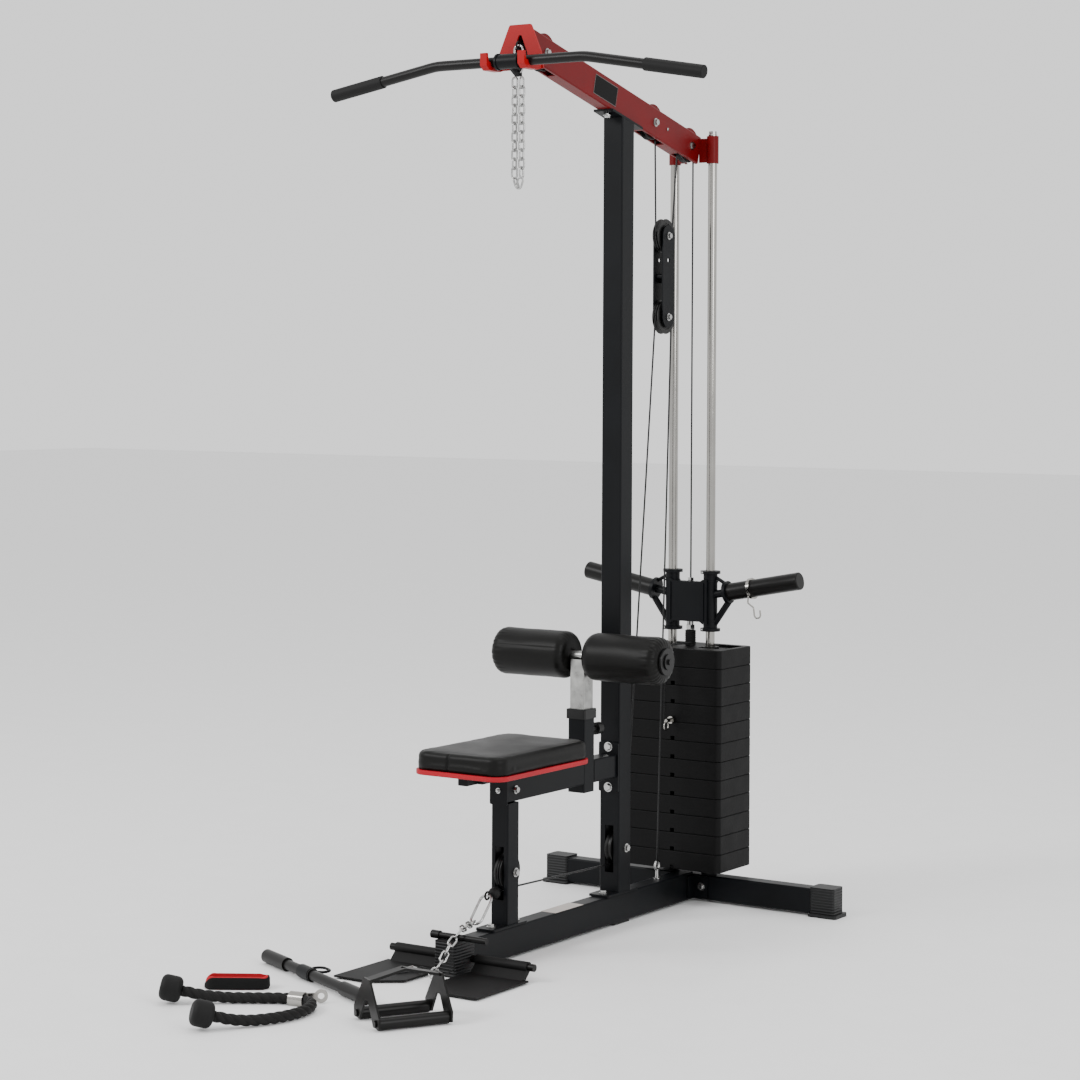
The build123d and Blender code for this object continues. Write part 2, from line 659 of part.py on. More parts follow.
# ---------------------------------------------------------------- carriage
with BuildPart() as carriage:
    with BuildSketch(Plane.XY.offset(car_z0)):
        with Locations((-rod_x, rod_y), (rod_x, rod_y)):
            Circle(sleeve_r)
    extrude(amount=car_z1 - car_z0)
    for z0 in (car_z0, car_z1 - 8, car_z0 + 26, car_z1 - 32):
        with BuildSketch(Plane.XY.offset(z0)):
            with Locations((-rod_x, rod_y), (rod_x, rod_y)):
                Circle(sleeve_r + (8 if z0 in (car_z0, car_z1 - 8) else 2))
        extrude(amount=8 if z0 in (car_z0, car_z1 - 8) else 4)
    with BuildSketch(Plane.XZ.offset(-(rod_y - 8))):
        with Locations((0, (car_z0 + car_z1) / 2)):
            Rectangle(2 * rod_x, 104)
    extrude(amount=-16)
    for side in (-1, 1):
        axis = Vector(side * (horn_tip[0] - horn_root[0]), 0, horn_tip[1] - horn_root[1]).normalized()
        root = Vector(side * horn_root[0], rod_y, horn_root[1])
        with BuildSketch(Plane(origin=root, z_dir=axis)):
            Circle(31)
        extrude(amount=-9)
        with BuildSketch(Plane(origin=root, z_dir=axis)):
            Circle(15)
        extrude(amount=200)
        with BuildSketch(Plane(origin=root - axis * 9, z_dir=-axis)):
            Circle(11)
        extrude(amount=40)
        add(rod_between((side * 118, rod_y, horn_root[1] - 27), (side * 74, rod_y, car_z0 + 22), 9))
        add(rod_between((side * 112, rod_y, horn_root[1] + 20), (side * 74, rod_y, car_z1 - 16), 5))
    with BuildSketch(Plane.XY.offset(car_z0 - 1)):
        with Locations((-rod_x, rod_y), (rod_x, rod_y)):
            Circle(rod_r + 0.06)
    extrude(amount=200, mode=Mode.SUBTRACT)
    with BuildSketch(Plane.XY.offset(car_z0)):
        with Locations((0, stem_y)):
            Circle(stem_r + 0.05)
    extrude(amount=770 - car_z0 + 0.1, mode=Mode.SUBTRACT)
save(carriage.part, "carriage_frame")

with BuildPart() as horns:
    for side in (-1, 1):
        axis = Vector(side * (horn_tip[0] - horn_root[0]), 0, horn_tip[1] - horn_root[1]).normalized()
        root = Vector(side * horn_root[0], rod_y, horn_root[1])
        horn_len = ((horn_tip[0] - horn_root[0]) ** 2 + (horn_tip[1] - horn_root[1]) ** 2) ** 0.5
        with BuildSketch(Plane(origin=root + axis * 0.1, z_dir=axis)):
            Circle(horn_r)
        extrude(amount=horn_len)
    fillet(horns.edges().filter_by(GeomType.CIRCLE).filter_by(lambda e: abs(e.center().X) > 300), 3)
    for side in (-1, 1):
        axis = Vector(side * (horn_tip[0] - horn_root[0]), 0, horn_tip[1] - horn_root[1]).normalized()
        root = Vector(side * horn_root[0], rod_y, horn_root[1])
        with BuildSketch(Plane(origin=root, z_dir=axis)):
            Circle(15.05)
        extrude(amount=200.1, mode=Mode.SUBTRACT)
save(horns.part, "weight_horns")

cover_y = rod_y - 28
with BuildPart() as cover:
    with BuildSketch(Plane.XZ.offset(-cover_y)):
        with BuildLine():
            Polyline((-64, 884), (-50, 884), (-42, 878), (42, 878), (50, 884), (64, 884), (64, 762), (50, 762),
                     (42, 768), (-42, 768), (-50, 762), (-64, 762), close=True)
        make_face()
    extrude(amount=-6)
    for side in (-1, 1):
        with BuildSketch(Plane.XZ.offset(-(cover_y + 6))):
            with Locations((side * 36.5, 823)):
                Rectangle(7, 104)
        extrude(amount=-14)
        with BuildSketch(Plane.XZ.offset(-cover_y)):
            with Locations((side * 52, 823)):
                Rectangle(5, 104)
        extrude(amount=3)
save(cover.part, "carriage_cover")

# Spring collar on the right horn, with its hooked tail.
collar_x = 186
collar_axis = Vector(horn_tip[0] - horn_root[0], 0, horn_tip[1] - horn_root[1]).normalized()
collar_at = Vector(collar_x, rod_y, horn_root[1] + (collar_x - horn_root[0]) * collar_axis.Z / collar_axis.X)
with BuildPart() as spring_collar:
    with BuildSketch(Plane(origin=collar_at, z_dir=collar_axis)):
        Circle(horn_r + 5)
        Circle(horn_r + 0.4, mode=Mode.SUBTRACT)
    extrude(amount=9)
    with BuildLine() as tail:
        FilletPolyline((collar_at.X + 5, rod_y - 22, collar_at.Z - 18), (collar_at.X + 8, rod_y - 30, collar_at.Z - 36),
                       (collar_at.X + 26, rod_y - 30, collar_at.Z - 48), (collar_at.X + 30, rod_y - 30, collar_at.Z - 78),
                       (collar_at.X + 48, rod_y - 30, collar_at.Z - 74), (collar_at.X + 46, rod_y - 30, collar_at.Z - 54),
                       radius=(6, 8, 9, 8))
    with BuildSketch(Plane(origin=tail.wire() @ 0, z_dir=tail.wire() % 0)):
        Circle(2.2)
    sweep(path=tail.wire())
save(spring_collar.part, "spring_collar")

# ---------------------------------------------------------------- pulleys and their block
pulleys = {
    "pulley_front": (front_y, boom_z(front_y), small_groove_r),
    "pulley_middle": (mid_y, boom_z(mid_y), small_groove_r),
    "pulley_rear": (rear_y, boom_z(rear_y), big_groove_r),
    "pulley_block_top": (block_y, block_top_z, big_groove_r),
    "pulley_block_low": (block_y, block_low_z, big_groove_r),
    "pulley_upright": (foot_pulley_y, foot_pulley_z, big_groove_r),
    "pulley_seat_post": (post_pulley_y, post_pulley_z, big_groove_r),
}
for name, (y, z, groove_r) in pulleys.items():
    with BuildPart() as pulley:
        with BuildSketch(Plane.XY):
            with BuildLine():
                Polyline((axle_r + 0.06, -pulley_t / 2), (18, -pulley_t / 2), (18, -7), (32, -7),
                         (34, -9), (pulley_r - 1.5, -9), (pulley_r, -7.5), (groove_r, -2.2), (groove_r, 2.2),
                         (pulley_r, 7.5), (pulley_r - 1.5, 9), (34, 9), (32, 7), (18, 7), (18, pulley_t / 2),
                         (axle_r + 0.06, pulley_t / 2), close=True)
            make_face()
        revolve(axis=Axis.Y)
    save(pulley.part.moved(Location((0, y, z), (0, 0, 90))), name)

with BuildPart() as block:
    for side in (-1, 1):
        with BuildSketch(Plane.YZ.offset(side * 12 if side > 0 else -16)):
            with Locations((block_y, (block_top_z + block_low_z) / 2)):
                RectangleRounded(58, block_top_z - block_low_z + 58, 28.9)
            with Locations((block_y, 1757)):
                Circle(6, mode=Mode.SUBTRACT)
            with Locations((block_y, block_top_z), (block_y, block_low_z)):
                Circle(axle_r + 0.05, mode=Mode.SUBTRACT)
        extrude(amount=4)
    with BuildSketch(Plane.YZ.offset(-12)):
        with Locations((block_y, 1702), (block_y - 14, 1713), (block_y + 14, 1713)):
            Circle(7)
    extrude(amount=24)


def bolt_x(y, z, half, radius=axle_r, head=8.5):
    """A bolt along X with a washer and hexagon head each side, centred on x = 0."""
    with BuildPart() as bolt:
        with BuildSketch(Plane.YZ.offset(-half)):
            with Locations((y, z)):
                Circle(radius)
        extrude(amount=2 * half)
        for side in (-1, 1):
            with BuildSketch(Plane.YZ.offset(side * half)):
                with Locations((y, z)):
                    Circle(head + 3)
            extrude(amount=side * 2)
            with BuildSketch(Plane.YZ.offset(side * (half + 2))):
                with Locations((y, z)):
                    RegularPolygon(head, 6)
            extrude(amount=side * 6)
    return bolt.part


def bolt_head(origin, direction, head=8.5, shank=5, length=9):
    """A bolt's washer, domed head and short shank, standing on a face at origin."""
    with BuildPart() as bolt:
        with BuildSketch(Plane(origin=origin, z_dir=direction)):
            Circle(head + 3)
        extrude(amount=2)
        with BuildSketch(Plane(origin=Vector(*origin) + Vector(*direction) * 2, z_dir=direction)):
            RegularPolygon(head, 6)
        extrude(amount=6)
        chamfer(bolt.faces().sort_by(Axis(origin, direction))[-1].edges(), 1)
        with BuildSketch(Plane(origin=origin, z_dir=direction)):
            Circle(shank)
        extrude(amount=-length)
    return bolt.part



with BuildPart() as block_all:
    add(block.part)
    for z in (block_top_z, block_low_z):
        add(bolt_x(block_y, z, 16.1, head=7.5))
save(block_all.part, "block_plates")

with BuildPart() as bolts:
    for y in (front_y, mid_y, rear_y):
        add(bolt_x(y, boom_z(y), boom_w / 2))
    add(bolt_x(foot_pulley_y, foot_pulley_z, upright_w / 2))
    add(bolt_x(post_pulley_y, post_pulley_z, post_w / 2))
    add(bolt_x(post_y + 8, 418, 25, radius=4, head=7.5))
    for z in (362, 468):
        add(bolt_head((0, -36, z), (0, -1, 0), head=9.5))
    for y in (-58, 42, post_y - 60, post_y + 46):
        add(bolt_head((0, y, upright_z0), (0, 0, 1), length=5.9))
    add(bolt_head((0, post_y - 31.05, 418), (0, -1, 0), head=4, length=0.5))
    for side in (-1, 1):
        add(bolt_head((side * 54, 361, 43), (0, -1, 0), length=5.9))
        with Locations((side * rod_x, rod_y, rod_top + 0.2)):
            Cylinder(11, 8, align=(Align.CENTER, Align.CENTER, Align.MIN))
    add(bolt_head((0, -58, boom_z(-58, boom_bot0) - 9.2), (0, 0, -1), length=9))
    add(bolt_head((0, 52, boom_z(52, boom_bot0) - 9.2), (0, 0, -1), length=9))
    with Locations((0, 215, base_z1)):
        Cylinder(9, 5, align=(Align.CENTER, Align.CENTER, Align.MIN))
        Cylinder(4.5, 28, align=(Align.CENTER, Align.CENTER, Align.MIN))
    add(ring_bar(11, 11, 3.2).moved(Location((0, 215, base_z1 + 38), (0, 90, 0))))
save(bolts.part, "frame_bolts")

# The quick-release pin that lies on the left foot plate.
with BuildPart() as lock_pin:
    add(rod_between((-96, -836, 12.6), (-80, -790, 16.6), 4))
    add(rod_between((-80, -790, 16.6), (-62, -796, 16.6), 3))
save(lock_pin.part, "foot_lock_pin")


# ---------------------------------------------------------------- cables
def cable_tube(start, wheels, end):
    """A cable from start to end, (y, z), round wheels of (y, z, path radius, sense).

    The sense is +1 where the cable turns left round the wheel and -1 where it turns right, seen
    with +Y to the right and +Z up. Straight runs are tangent to the arcs.
    """
    stops = [(*start, 0, 1)] + list(wheels) + [(*end, 0, 1)]
    runs = []
    for (y0, z0, r0, s0), (y1, z1, r1, s1) in zip(stops, stops[1:]):
        across = Vector(y1 - y0, z1 - z0)
        turn = degrees(math_asin((s1 * r1 - s0 * r0) / across.length))
        heading = across.normalized().rotate(Axis.Z, -turn)
        left = Vector(-heading.Y, heading.X)
        runs.append((Vector(y0, z0) - left * (s0 * r0), Vector(y1, z1) - left * (s1 * r1)))
    with BuildPart() as tube:
        with BuildLine(Plane.YZ) as path:
            for k, (a, b) in enumerate(runs):
                Line((a.X, a.Y), (b.X, b.Y))
                if k + 1 < len(runs):
                    y, z, r, s = stops[k + 1]
                    centre = Vector(y, z)
                    c = runs[k + 1][0]
                    middle = (b - centre) + (c - centre)
                    out = middle.normalized() * r
                    ThreePointArc((b.X, b.Y), (y + out.X, z + out.Y), (c.X, c.Y))
        with BuildSketch(Plane(origin=path.wire() @ 0, z_dir=path.wire() % 0)):
            Circle(cable_r)
        sweep(path=path.wire())
    print("cable", round(path.wire().length), "mm")
    return tube.part


big_path, small_path = big_groove_r + 3, small_groove_r + 3
eye_y, eye_z = -475, 2266
low_ball_y, low_ball_z = -563, 167
top_ball_y, top_ball_z = -442, 2263
save(cable_tube((top_ball_y, top_ball_z), [(front_y, boom_z(front_y), small_path, -1),
                               (mid_y, boom_z(mid_y), small_path, -1),
                               (block_y, block_top_z, big_path, 1),
                               (rear_y, boom_z(rear_y), big_path, -1)], (stem_y, 887.2)), "upper_cable")
save(cable_tube((215, base_z1 + 53), [(block_y, block_low_z, big_path, 1),
                                      (foot_pulley_y, foot_pulley_z, big_path, -1),
                                      (post_pulley_y, post_pulley_z, big_path, -1)],
                (low_ball_y, low_ball_z)), "lower_cable")


def stop_ball(ball, eye, name):
    """A rubber stop ball on a cable's end with its steel ferrule and eye ring; (y, z) places."""
    with BuildPart() as stop:
        with Locations((0, *ball)):
            Sphere(15)
        add(rod_between((0, *ball), (0, eye[0], eye[1]), 5))
        add(ring_bar(9, 9, 2.6).moved(Location((0, eye[0] - 9, eye[1]), (0, 90, 0))))
    with BuildPart() as bored:
        add(stop.part)
        with BuildSketch(Plane(origin=(0, *ball), z_dir=Vector(0, ball[0] - eye[0], ball[1] - eye[1]))):
            Circle(cable_r + 1)
        extrude(amount=20, taper=-20, mode=Mode.SUBTRACT)
    save(bored.part, name)


stop_ball((top_ball_y, top_ball_z), (eye_y + 9, eye_z), "cable_end_top")
stop_ball((low_ball_y, low_ball_z), (-584, 166), "cable_end_low")

# ---------------------------------------------------------------- lat bar
with BuildPart() as lat_bar:
    with BuildLine() as bar_path:
        FilletPolyline((-bar_tip_x, bar_y + 8, bar_z - bar_drop), (-bar_bend_x, bar_y, bar_z),
                       (bar_bend_x, bar_y, bar_z), (bar_tip_x, bar_y + 8, bar_z - bar_drop), radius=220)
    with BuildSketch(Plane(origin=bar_path.wire() @ 0, z_dir=bar_path.wire() % 0)):
        Circle(bar_r)
    sweep(path=bar_path.wire())
save(lat_bar.part, "lat_bar")

with BuildPart() as grips:
    for side in (-1, 1):
        tip = Vector(side * bar_tip_x, bar_y + 8, bar_z - bar_drop)
        inward = (Vector(side * bar_bend_x, bar_y, bar_z) - tip).normalized()
        with BuildSketch(Plane(origin=tip - inward * 4, z_dir=inward)):
            Circle(grip_r)
        extrude(amount=grip_len)
    chamfer(grips.edges().filter_by(GeomType.CIRCLE), 1.5)
    for side in (-1, 1):
        tip = Vector(side * bar_tip_x, bar_y + 8, bar_z - bar_drop)
        inward = (Vector(side * bar_bend_x, bar_y, bar_z) - tip).normalized()
        with BuildSketch(Plane(origin=tip, z_dir=inward)):
            Circle(bar_r + 0.05)
        extrude(amount=grip_len, mode=Mode.SUBTRACT)
save(grips.part, "bar_grips")

lug_hole = (eye_y, 2198)
with BuildPart() as swivel:
    with BuildSketch(Plane.YZ.offset(-34)):
        with Locations((bar_y, bar_z)):
            Circle(19)
    extrude(amount=68)
    for x in (-34, 28):
        with BuildSketch(Plane.YZ.offset(x)):
            with Locations((bar_y, bar_z)):
                Circle(21)
        extrude(amount=6)
    with BuildSketch(Plane.YZ.offset(-4)):
        with BuildLine():
            Polyline((bar_y + 4, bar_z - 17), (bar_y + 17, bar_z + 4), (eye_y + 9, lug_hole[1] + 10),
                     (eye_y + 11, lug_hole[1] - 8), (eye_y - 8, lug_hole[1] - 11), close=True)
        make_face()
    extrude(amount=8)
    with BuildSketch(Plane.YZ.offset(-40)):
        with Locations((bar_y, bar_z)):
            Circle(bar_r + 0.06)
    extrude(amount=80, mode=Mode.SUBTRACT)
    with BuildSketch(Plane.YZ.offset(-40)):
        with Locations(lug_hole):
            Circle(6)
    extrude(amount=80, mode=Mode.SUBTRACT)
save(swivel.part, "bar_swivel")

# Snap hook between the cable's eye and the bar's lug.
with BuildPart() as top_carabiner:
    add(ring_bar(34, 12, 3).moved(Location((0, eye_y, (eye_z + lug_hole[1]) / 2), (0, 90, 0))
                                  * Location((0, 0, 0), (90, 0, 0))))
save(top_carabiner.part, "top_carabiner")

# ---------------------------------------------------------------- chains
link_len, link_wid, link_d = 33, 20, 5
link_pitch = link_len - 2 * link_d - 0.3
link = ring_bar(link_len / 2 - link_d / 2, link_wid / 2 - link_d / 2, link_d / 2)


def chain(points, first_turn, name, extras=()):
    """Links laid nose to tail along a polyline, each a quarter turn from the last."""
    links = list(extras)
    turn = first_turn
    for a, b in zip(points, points[1:]):
        line = Vector(*b) - Vector(*a)
        count = max(1, round(line.length / link_pitch))
        for k in range(count):
            at = Vector(*a) + line * ((k + 0.5) / count)
            side = Vector(1, 0, 0) if abs(line.normalized().X) < 0.9 else Vector(0, 1, 0)
            links.append(Location(Plane(origin=at, x_dir=line, z_dir=line.cross(side)))
                         * Location((0, 0, 0), (turn, 0, 0)))
            turn += 90
    with BuildPart() as run:
        for place in links:
            add(place if isinstance(place, (Part, Solid, Compound)) else link.moved(place))
    print(name, len(links), "links")
    save(run.part, name)


chain([(-10.5, eye_y, 2184), (-10.5, eye_y, 1938), (0, eye_y, 1908), (10.5, eye_y, 1938),
       (10.5, eye_y, 2184)], 0, "top_chain")

# The low snap hook and its chain, which drapes over the base's front shoe down to the floor.
low_hook_dir = Vector(0, -59, -62).normalized()
low_hook_at = Vector(0, -593, 164) + low_hook_dir * 38
low_hook = ring_bar(42, 16, 3.3).moved(Location(Plane(origin=low_hook_at, x_dir=low_hook_dir,
                                                      z_dir=low_hook_dir.cross(Vector(1, 0, 0)))))
chain([(0, -652, 110), (16, -700, 113), (30, -745, 113), (27, -790, 82), (24, -815, 50), (20, -856, 18)], 45, "low_chain",
      extras=(low_hook,))


# ---------------------------------------------------------------- loose attachments on the floor
def cord_radii(points):
    """The bend radius at each inner point of a cord's route, and prints them."""
    radii = []
    for a, b, c in zip(points, points[1:], points[2:]):
        into, out = Vector(*b) - Vector(*a), Vector(*c) - Vector(*b)
        turn = into.get_angle(out)
        radii.append(0.45 * min(into.length, out.length) / math_tan(math_radians(turn / 2)))
    print("cord radii", [round(r) for r in radii])
    return radii


rope_r = 13
rope_route = [(-338, -1334, 30), (-298, -1307, 19.5), (-252, -1274, 13.8), (-198, -1237, 13.5), (-146, -1203, 13.4),
              (-102, -1190, 13.4), (-66, -1200, 13.5), (-42, -1230, 13.7), (-29, -1274, 13.5), (-31, -1324, 13.4),
              (-46, -1372, 13.7), (-70, -1414, 14.3), (-96, -1448, 19.5), (-122, -1477, 30)]
with BuildPart() as rope:
    with BuildLine() as rope_path:
        FilletPolyline(*rope_route, radius=cord_radii(rope_route))
    with BuildSketch(Plane(origin=rope_path.wire() @ 0, z_dir=rope_path.wire() % 0)):
        Circle(rope_r)
    sweep(path=rope_path.wire())
print("rope", round(rope_path.wire().length), "mm", round(rope.part.volume / (3.1416 * rope_r ** 2)))
save(rope.part, "rope_cord")

with BuildPart() as rope_ends:
    for at, towards in ((rope_route[0], rope_route[1]), (rope_route[-1], rope_route[-2])):
        outward = (Vector(*at) - Vector(*towards)).normalized()
        with BuildSketch(Plane(origin=Vector(*at) + outward * 0.1, z_dir=outward)):
            Circle(30)
        extrude(amount=50)
    fillet(rope_ends.edges().filter_by(GeomType.CIRCLE), 14)
    with BuildSketch(Plane.XY.offset(-40)):
        Rectangle(2000, 4000)
    extrude(amount=40.5, mode=Mode.SUBTRACT)
save(rope_ends.part, "rope_ends")

# The chromed clamp round the rope's bend, with its eye standing upright.
swivel_a, swivel_b = Vector(-129, -1197.7, 13.4), Vector(-93, -1190.5, 13.4)
eye_foot, eye_at = Vector(-114, -1179, 16.5), Vector(-79, -1148, 16.5)
eye_dir = (eye_at - eye_foot).normalized()
with BuildPart() as rope_swivel:
    with BuildSketch(Plane(origin=swivel_a, z_dir=swivel_b - swivel_a)):
        Circle(rope_r + 4.6)
        Circle(rope_r + 1.6, mode=Mode.SUBTRACT)
    extrude(amount=(swivel_b - swivel_a).length)
    with BuildSketch(Plane(origin=eye_foot, x_dir=eye_dir, z_dir=eye_dir.cross(Vector(0, 0, 1)))):
        with Locations(((eye_at - eye_foot).length / 2 - 4, 0)):
            Rectangle((eye_at - eye_foot).length - 4, 15)
        with Locations(((eye_at - eye_foot).length, 0)):
            Circle(15.5)
            Circle(7.5, mode=Mode.SUBTRACT)
    extrude(amount=2.6, both=True)
    with BuildSketch(Plane(origin=swivel_a - (swivel_b - swivel_a) * 0.2, z_dir=swivel_b - swivel_a)):
        Circle(rope_r + 1.6)
    extrude(amount=60, mode=Mode.SUBTRACT)
    with BuildSketch(Plane.XY.offset(-40)):
        Rectangle(2000, 4000)
    extrude(amount=40.2, mode=Mode.SUBTRACT)
save(rope_swivel.part, "rope_swivel")

strap_plane = Plane(origin=(-334, -1142, 0.3), x_dir=(0.84, 0.54, 0), z_dir=(0, 0, 1))
with BuildPart() as ankle_strap:
    with BuildSketch(strap_plane):
        SlotOverall(158, 56)
        SlotOverall(144, 42, mode=Mode.SUBTRACT)
    extrude(amount=30)
    with BuildSketch(strap_plane.offset(6)):
        with Locations((-22, 31)):
            RectangleRounded(46, 5.8, 2)
    extrude(amount=18)
save(ankle_strap.part, "ankle_strap")

bar_a, bar_b = Vector(-446, -896, 17), Vector(20, -1107, 17)
bar_dir = (bar_b - bar_a).normalized()
bar_len = (bar_b - bar_a).length
sleeve_at = bar_a + bar_dir * bar_len * 0.42
with BuildPart() as short_bar:
    add(rod_between(bar_a, bar_b, 12.5))
    for end, inward in ((bar_a, bar_dir), (bar_b, -bar_dir)):
        with BuildSketch(Plane(origin=end, z_dir=inward)):
            Circle(16.5)
        extrude(amount=112)
    for shift in (-31, 27):
        with BuildSketch(Plane(origin=sleeve_at + bar_dir * shift, z_dir=bar_dir)):
            Circle(15.5)
        extrude(amount=4)
save(short_bar.part, "short_bar")

with BuildPart() as bar_loop:
    with BuildSketch(Plane(origin=sleeve_at - bar_dir * 26.5, z_dir=bar_dir)):
        Circle(16.4)
        Circle(12.56, mode=Mode.SUBTRACT)
    extrude(amount=53)
    across = Vector(-bar_dir.Y, bar_dir.X, 0)
    add(ring_bar(26, 18, 3.2).moved(Location(Plane(origin=sleeve_at + across * 36 + Vector(0, 0, 3),
                                                   x_dir=bar_dir, z_dir=(0, 0, 1)))))
save(bar_loop.part, "short_bar_swivel")

handle_at = Location((179, -1180, 0), (0, 0, 58.5))
grip_half, grip_gap = 84, 57
with BuildPart() as row_handle:
    for side in (-1, 1):
        with BuildSketch(Plane.YZ.offset(-grip_half)):
            with Locations((side * grip_gap, 15)):
                Circle(14)
        extrude(amount=2 * grip_half)
        with BuildSketch(Plane.YZ.offset(side * grip_half)):
            with BuildLine():
                Polyline((-75, 6), (-42, 6), (-10, 56), (10, 56), (42, 6), (75, 6), (76, 30), (18, 104),
                         (-18, 104), (-76, 30), close=True)
            make_face()
            fillet(vertices(), 3)
        extrude(amount=side * 5)
        with BuildSketch(Plane.YZ.offset(side * (grip_half + 5))):
            with Locations((-grip_gap, 16), (grip_gap, 16)):
                Circle(8)
        extrude(amount=side * 4)
    with BuildSketch(Plane.XZ.offset(-14)):
        with BuildLine():
            Polyline((-grip_half - 5, 96), (0, 116), (grip_half + 5, 96), (grip_half + 5, 102), (0, 122),
                     (-grip_half - 5, 102), close=True)
        make_face()
    extrude(amount=28)
    with BuildSketch(Plane.XY.offset(90)):
        Circle(6)
    extrude(amount=40, mode=Mode.SUBTRACT)
save(row_handle.part.moved(handle_at), "row_handle")
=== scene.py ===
import bpy
import bmesh
import math
from mathutils import Matrix, Vector, noise


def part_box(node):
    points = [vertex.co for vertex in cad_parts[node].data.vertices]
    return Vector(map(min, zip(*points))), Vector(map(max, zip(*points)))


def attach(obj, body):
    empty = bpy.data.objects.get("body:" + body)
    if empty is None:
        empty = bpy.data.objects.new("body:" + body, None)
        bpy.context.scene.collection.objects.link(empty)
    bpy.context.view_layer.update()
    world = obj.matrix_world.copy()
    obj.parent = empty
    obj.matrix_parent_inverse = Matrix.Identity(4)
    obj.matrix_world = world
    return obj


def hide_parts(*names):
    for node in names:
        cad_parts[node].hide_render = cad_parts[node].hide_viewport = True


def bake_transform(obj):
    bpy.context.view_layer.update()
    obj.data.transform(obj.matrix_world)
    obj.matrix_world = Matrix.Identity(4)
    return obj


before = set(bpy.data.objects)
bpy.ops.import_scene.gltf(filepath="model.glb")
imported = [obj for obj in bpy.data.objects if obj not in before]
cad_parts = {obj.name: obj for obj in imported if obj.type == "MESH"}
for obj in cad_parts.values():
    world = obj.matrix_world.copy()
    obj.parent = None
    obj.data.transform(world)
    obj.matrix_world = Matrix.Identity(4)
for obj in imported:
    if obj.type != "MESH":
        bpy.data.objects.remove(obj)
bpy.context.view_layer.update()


# ------------------------------------------------------------ camera and light
YAW, PITCH, ROLL = math.radians(33.56), math.radians(-0.04), math.radians(0.30)
forward = Vector((-math.sin(YAW) * math.cos(PITCH), math.cos(YAW) * math.cos(PITCH), math.sin(PITCH)))
level = Vector((math.cos(YAW), math.sin(YAW), 0))
above = level.cross(forward)
right = level * math.cos(ROLL) + above * math.sin(ROLL)
up = above * math.cos(ROLL) - level * math.sin(ROLL)
cam = bpy.data.objects.new("camera", bpy.data.cameras.new("camera"))
bpy.context.scene.collection.objects.link(cam)
cam.data.sensor_width = 36
cam.data.lens = 88.656
cam.data.shift_y = -0.1552
cam.data.clip_end = 60
pose = Matrix((right, up, -forward)).transposed().to_4x4()
pose.translation = (3.7118, -5.9662, 1.4562)
cam.matrix_world = pose
bpy.context.scene.camera = cam

world = bpy.data.worlds.new("studio")
bpy.context.scene.world = world
world.use_nodes = True
world.node_tree.nodes["Background"].inputs["Color"].default_value = (1, 1, 1, 1)
world.node_tree.nodes["Background"].inputs["Strength"].default_value = 1.25


def area_light(name, at, target, size, power):
    """A soft rectangular studio light aimed at a point."""
    light = bpy.data.lights.new(name, "AREA")
    light.shape = "RECTANGLE"
    light.size, light.size_y = size
    light.energy = power
    obj = bpy.data.objects.new(name, light)
    obj.location = at
    obj.rotation_euler = (Vector(target) - Vector(at)).to_track_quat("-Z", "Y").to_euler()
    bpy.context.scene.collection.objects.link(obj)


area_light("key", (-3.6, -5.6, 4.8), (0, -0.3, 1.0), (2.4, 2.4), 260)
area_light("fill", (5.6, -2.4, 3.0), (0, 0, 1.0), (2.2, 3.0), 120)
area_light("top", (0.5, 0.2, 6.4), (0, 0, 0), (3.6, 3.6), 90)


# ------------------------------------------------------------ materials
def material(name, colour, rough, metallic=0.0, vary=0.25, vary_scale=9.0, bump=0.1, bump_scale=300.0,
             bump_mm=0.15, coat=0.0, spec=0.5, rough_vary=0.08, sheen=0.0):
    """A procedural surface: colour and gloss drift slowly, a fine bump gives it its grain."""
    m = bpy.data.materials.new(name)
    m.use_nodes = True
    nodes, links = m.node_tree.nodes, m.node_tree.links
    bsdf = nodes["Principled BSDF"]
    bsdf.inputs["Metallic"].default_value = metallic
    bsdf.inputs["Specular IOR Level"].default_value = spec
    bsdf.inputs["Coat Weight"].default_value = coat
    bsdf.inputs["Coat Roughness"].default_value = 0.2
    bsdf.inputs["Sheen Weight"].default_value = sheen
    coords = nodes.new("ShaderNodeTexCoord")
    drift = nodes.new("ShaderNodeTexNoise")
    drift.inputs["Scale"].default_value = vary_scale
    drift.inputs["Detail"].default_value = 5
    links.new(coords.outputs["Object"], drift.inputs["Vector"])
    ramp = nodes.new("ShaderNodeValToRGB")
    ramp.color_ramp.elements[0].position = 0.3
    ramp.color_ramp.elements[1].position = 0.7
    ramp.color_ramp.elements[0].color = (*[c * (1 - vary) for c in colour], 1)
    ramp.color_ramp.elements[1].color = (*[min(c * (1 + vary), 1) for c in colour], 1)
    links.new(drift.outputs["Fac"], ramp.inputs["Fac"])
    links.new(ramp.outputs["Color"], bsdf.inputs["Base Color"])
    gloss = nodes.new("ShaderNodeMapRange")
    gloss.inputs["To Min"].default_value = max(rough - rough_vary, 0.03)
    gloss.inputs["To Max"].default_value = min(rough + rough_vary, 1)
    links.new(drift.outputs["Fac"], gloss.inputs["Value"])
    links.new(gloss.outputs["Result"], bsdf.inputs["Roughness"])
    grain = nodes.new("ShaderNodeTexNoise")
    grain.inputs["Scale"].default_value = bump_scale
    grain.inputs["Detail"].default_value = 3
    links.new(coords.outputs["Object"], grain.inputs["Vector"])
    relief = nodes.new("ShaderNodeBump")
    relief.inputs["Strength"].default_value = bump
    relief.inputs["Distance"].default_value = bump_mm / 1000
    links.new(grain.outputs["Fac"], relief.inputs["Height"])
    links.new(relief.outputs["Normal"], bsdf.inputs["Normal"])
    return m


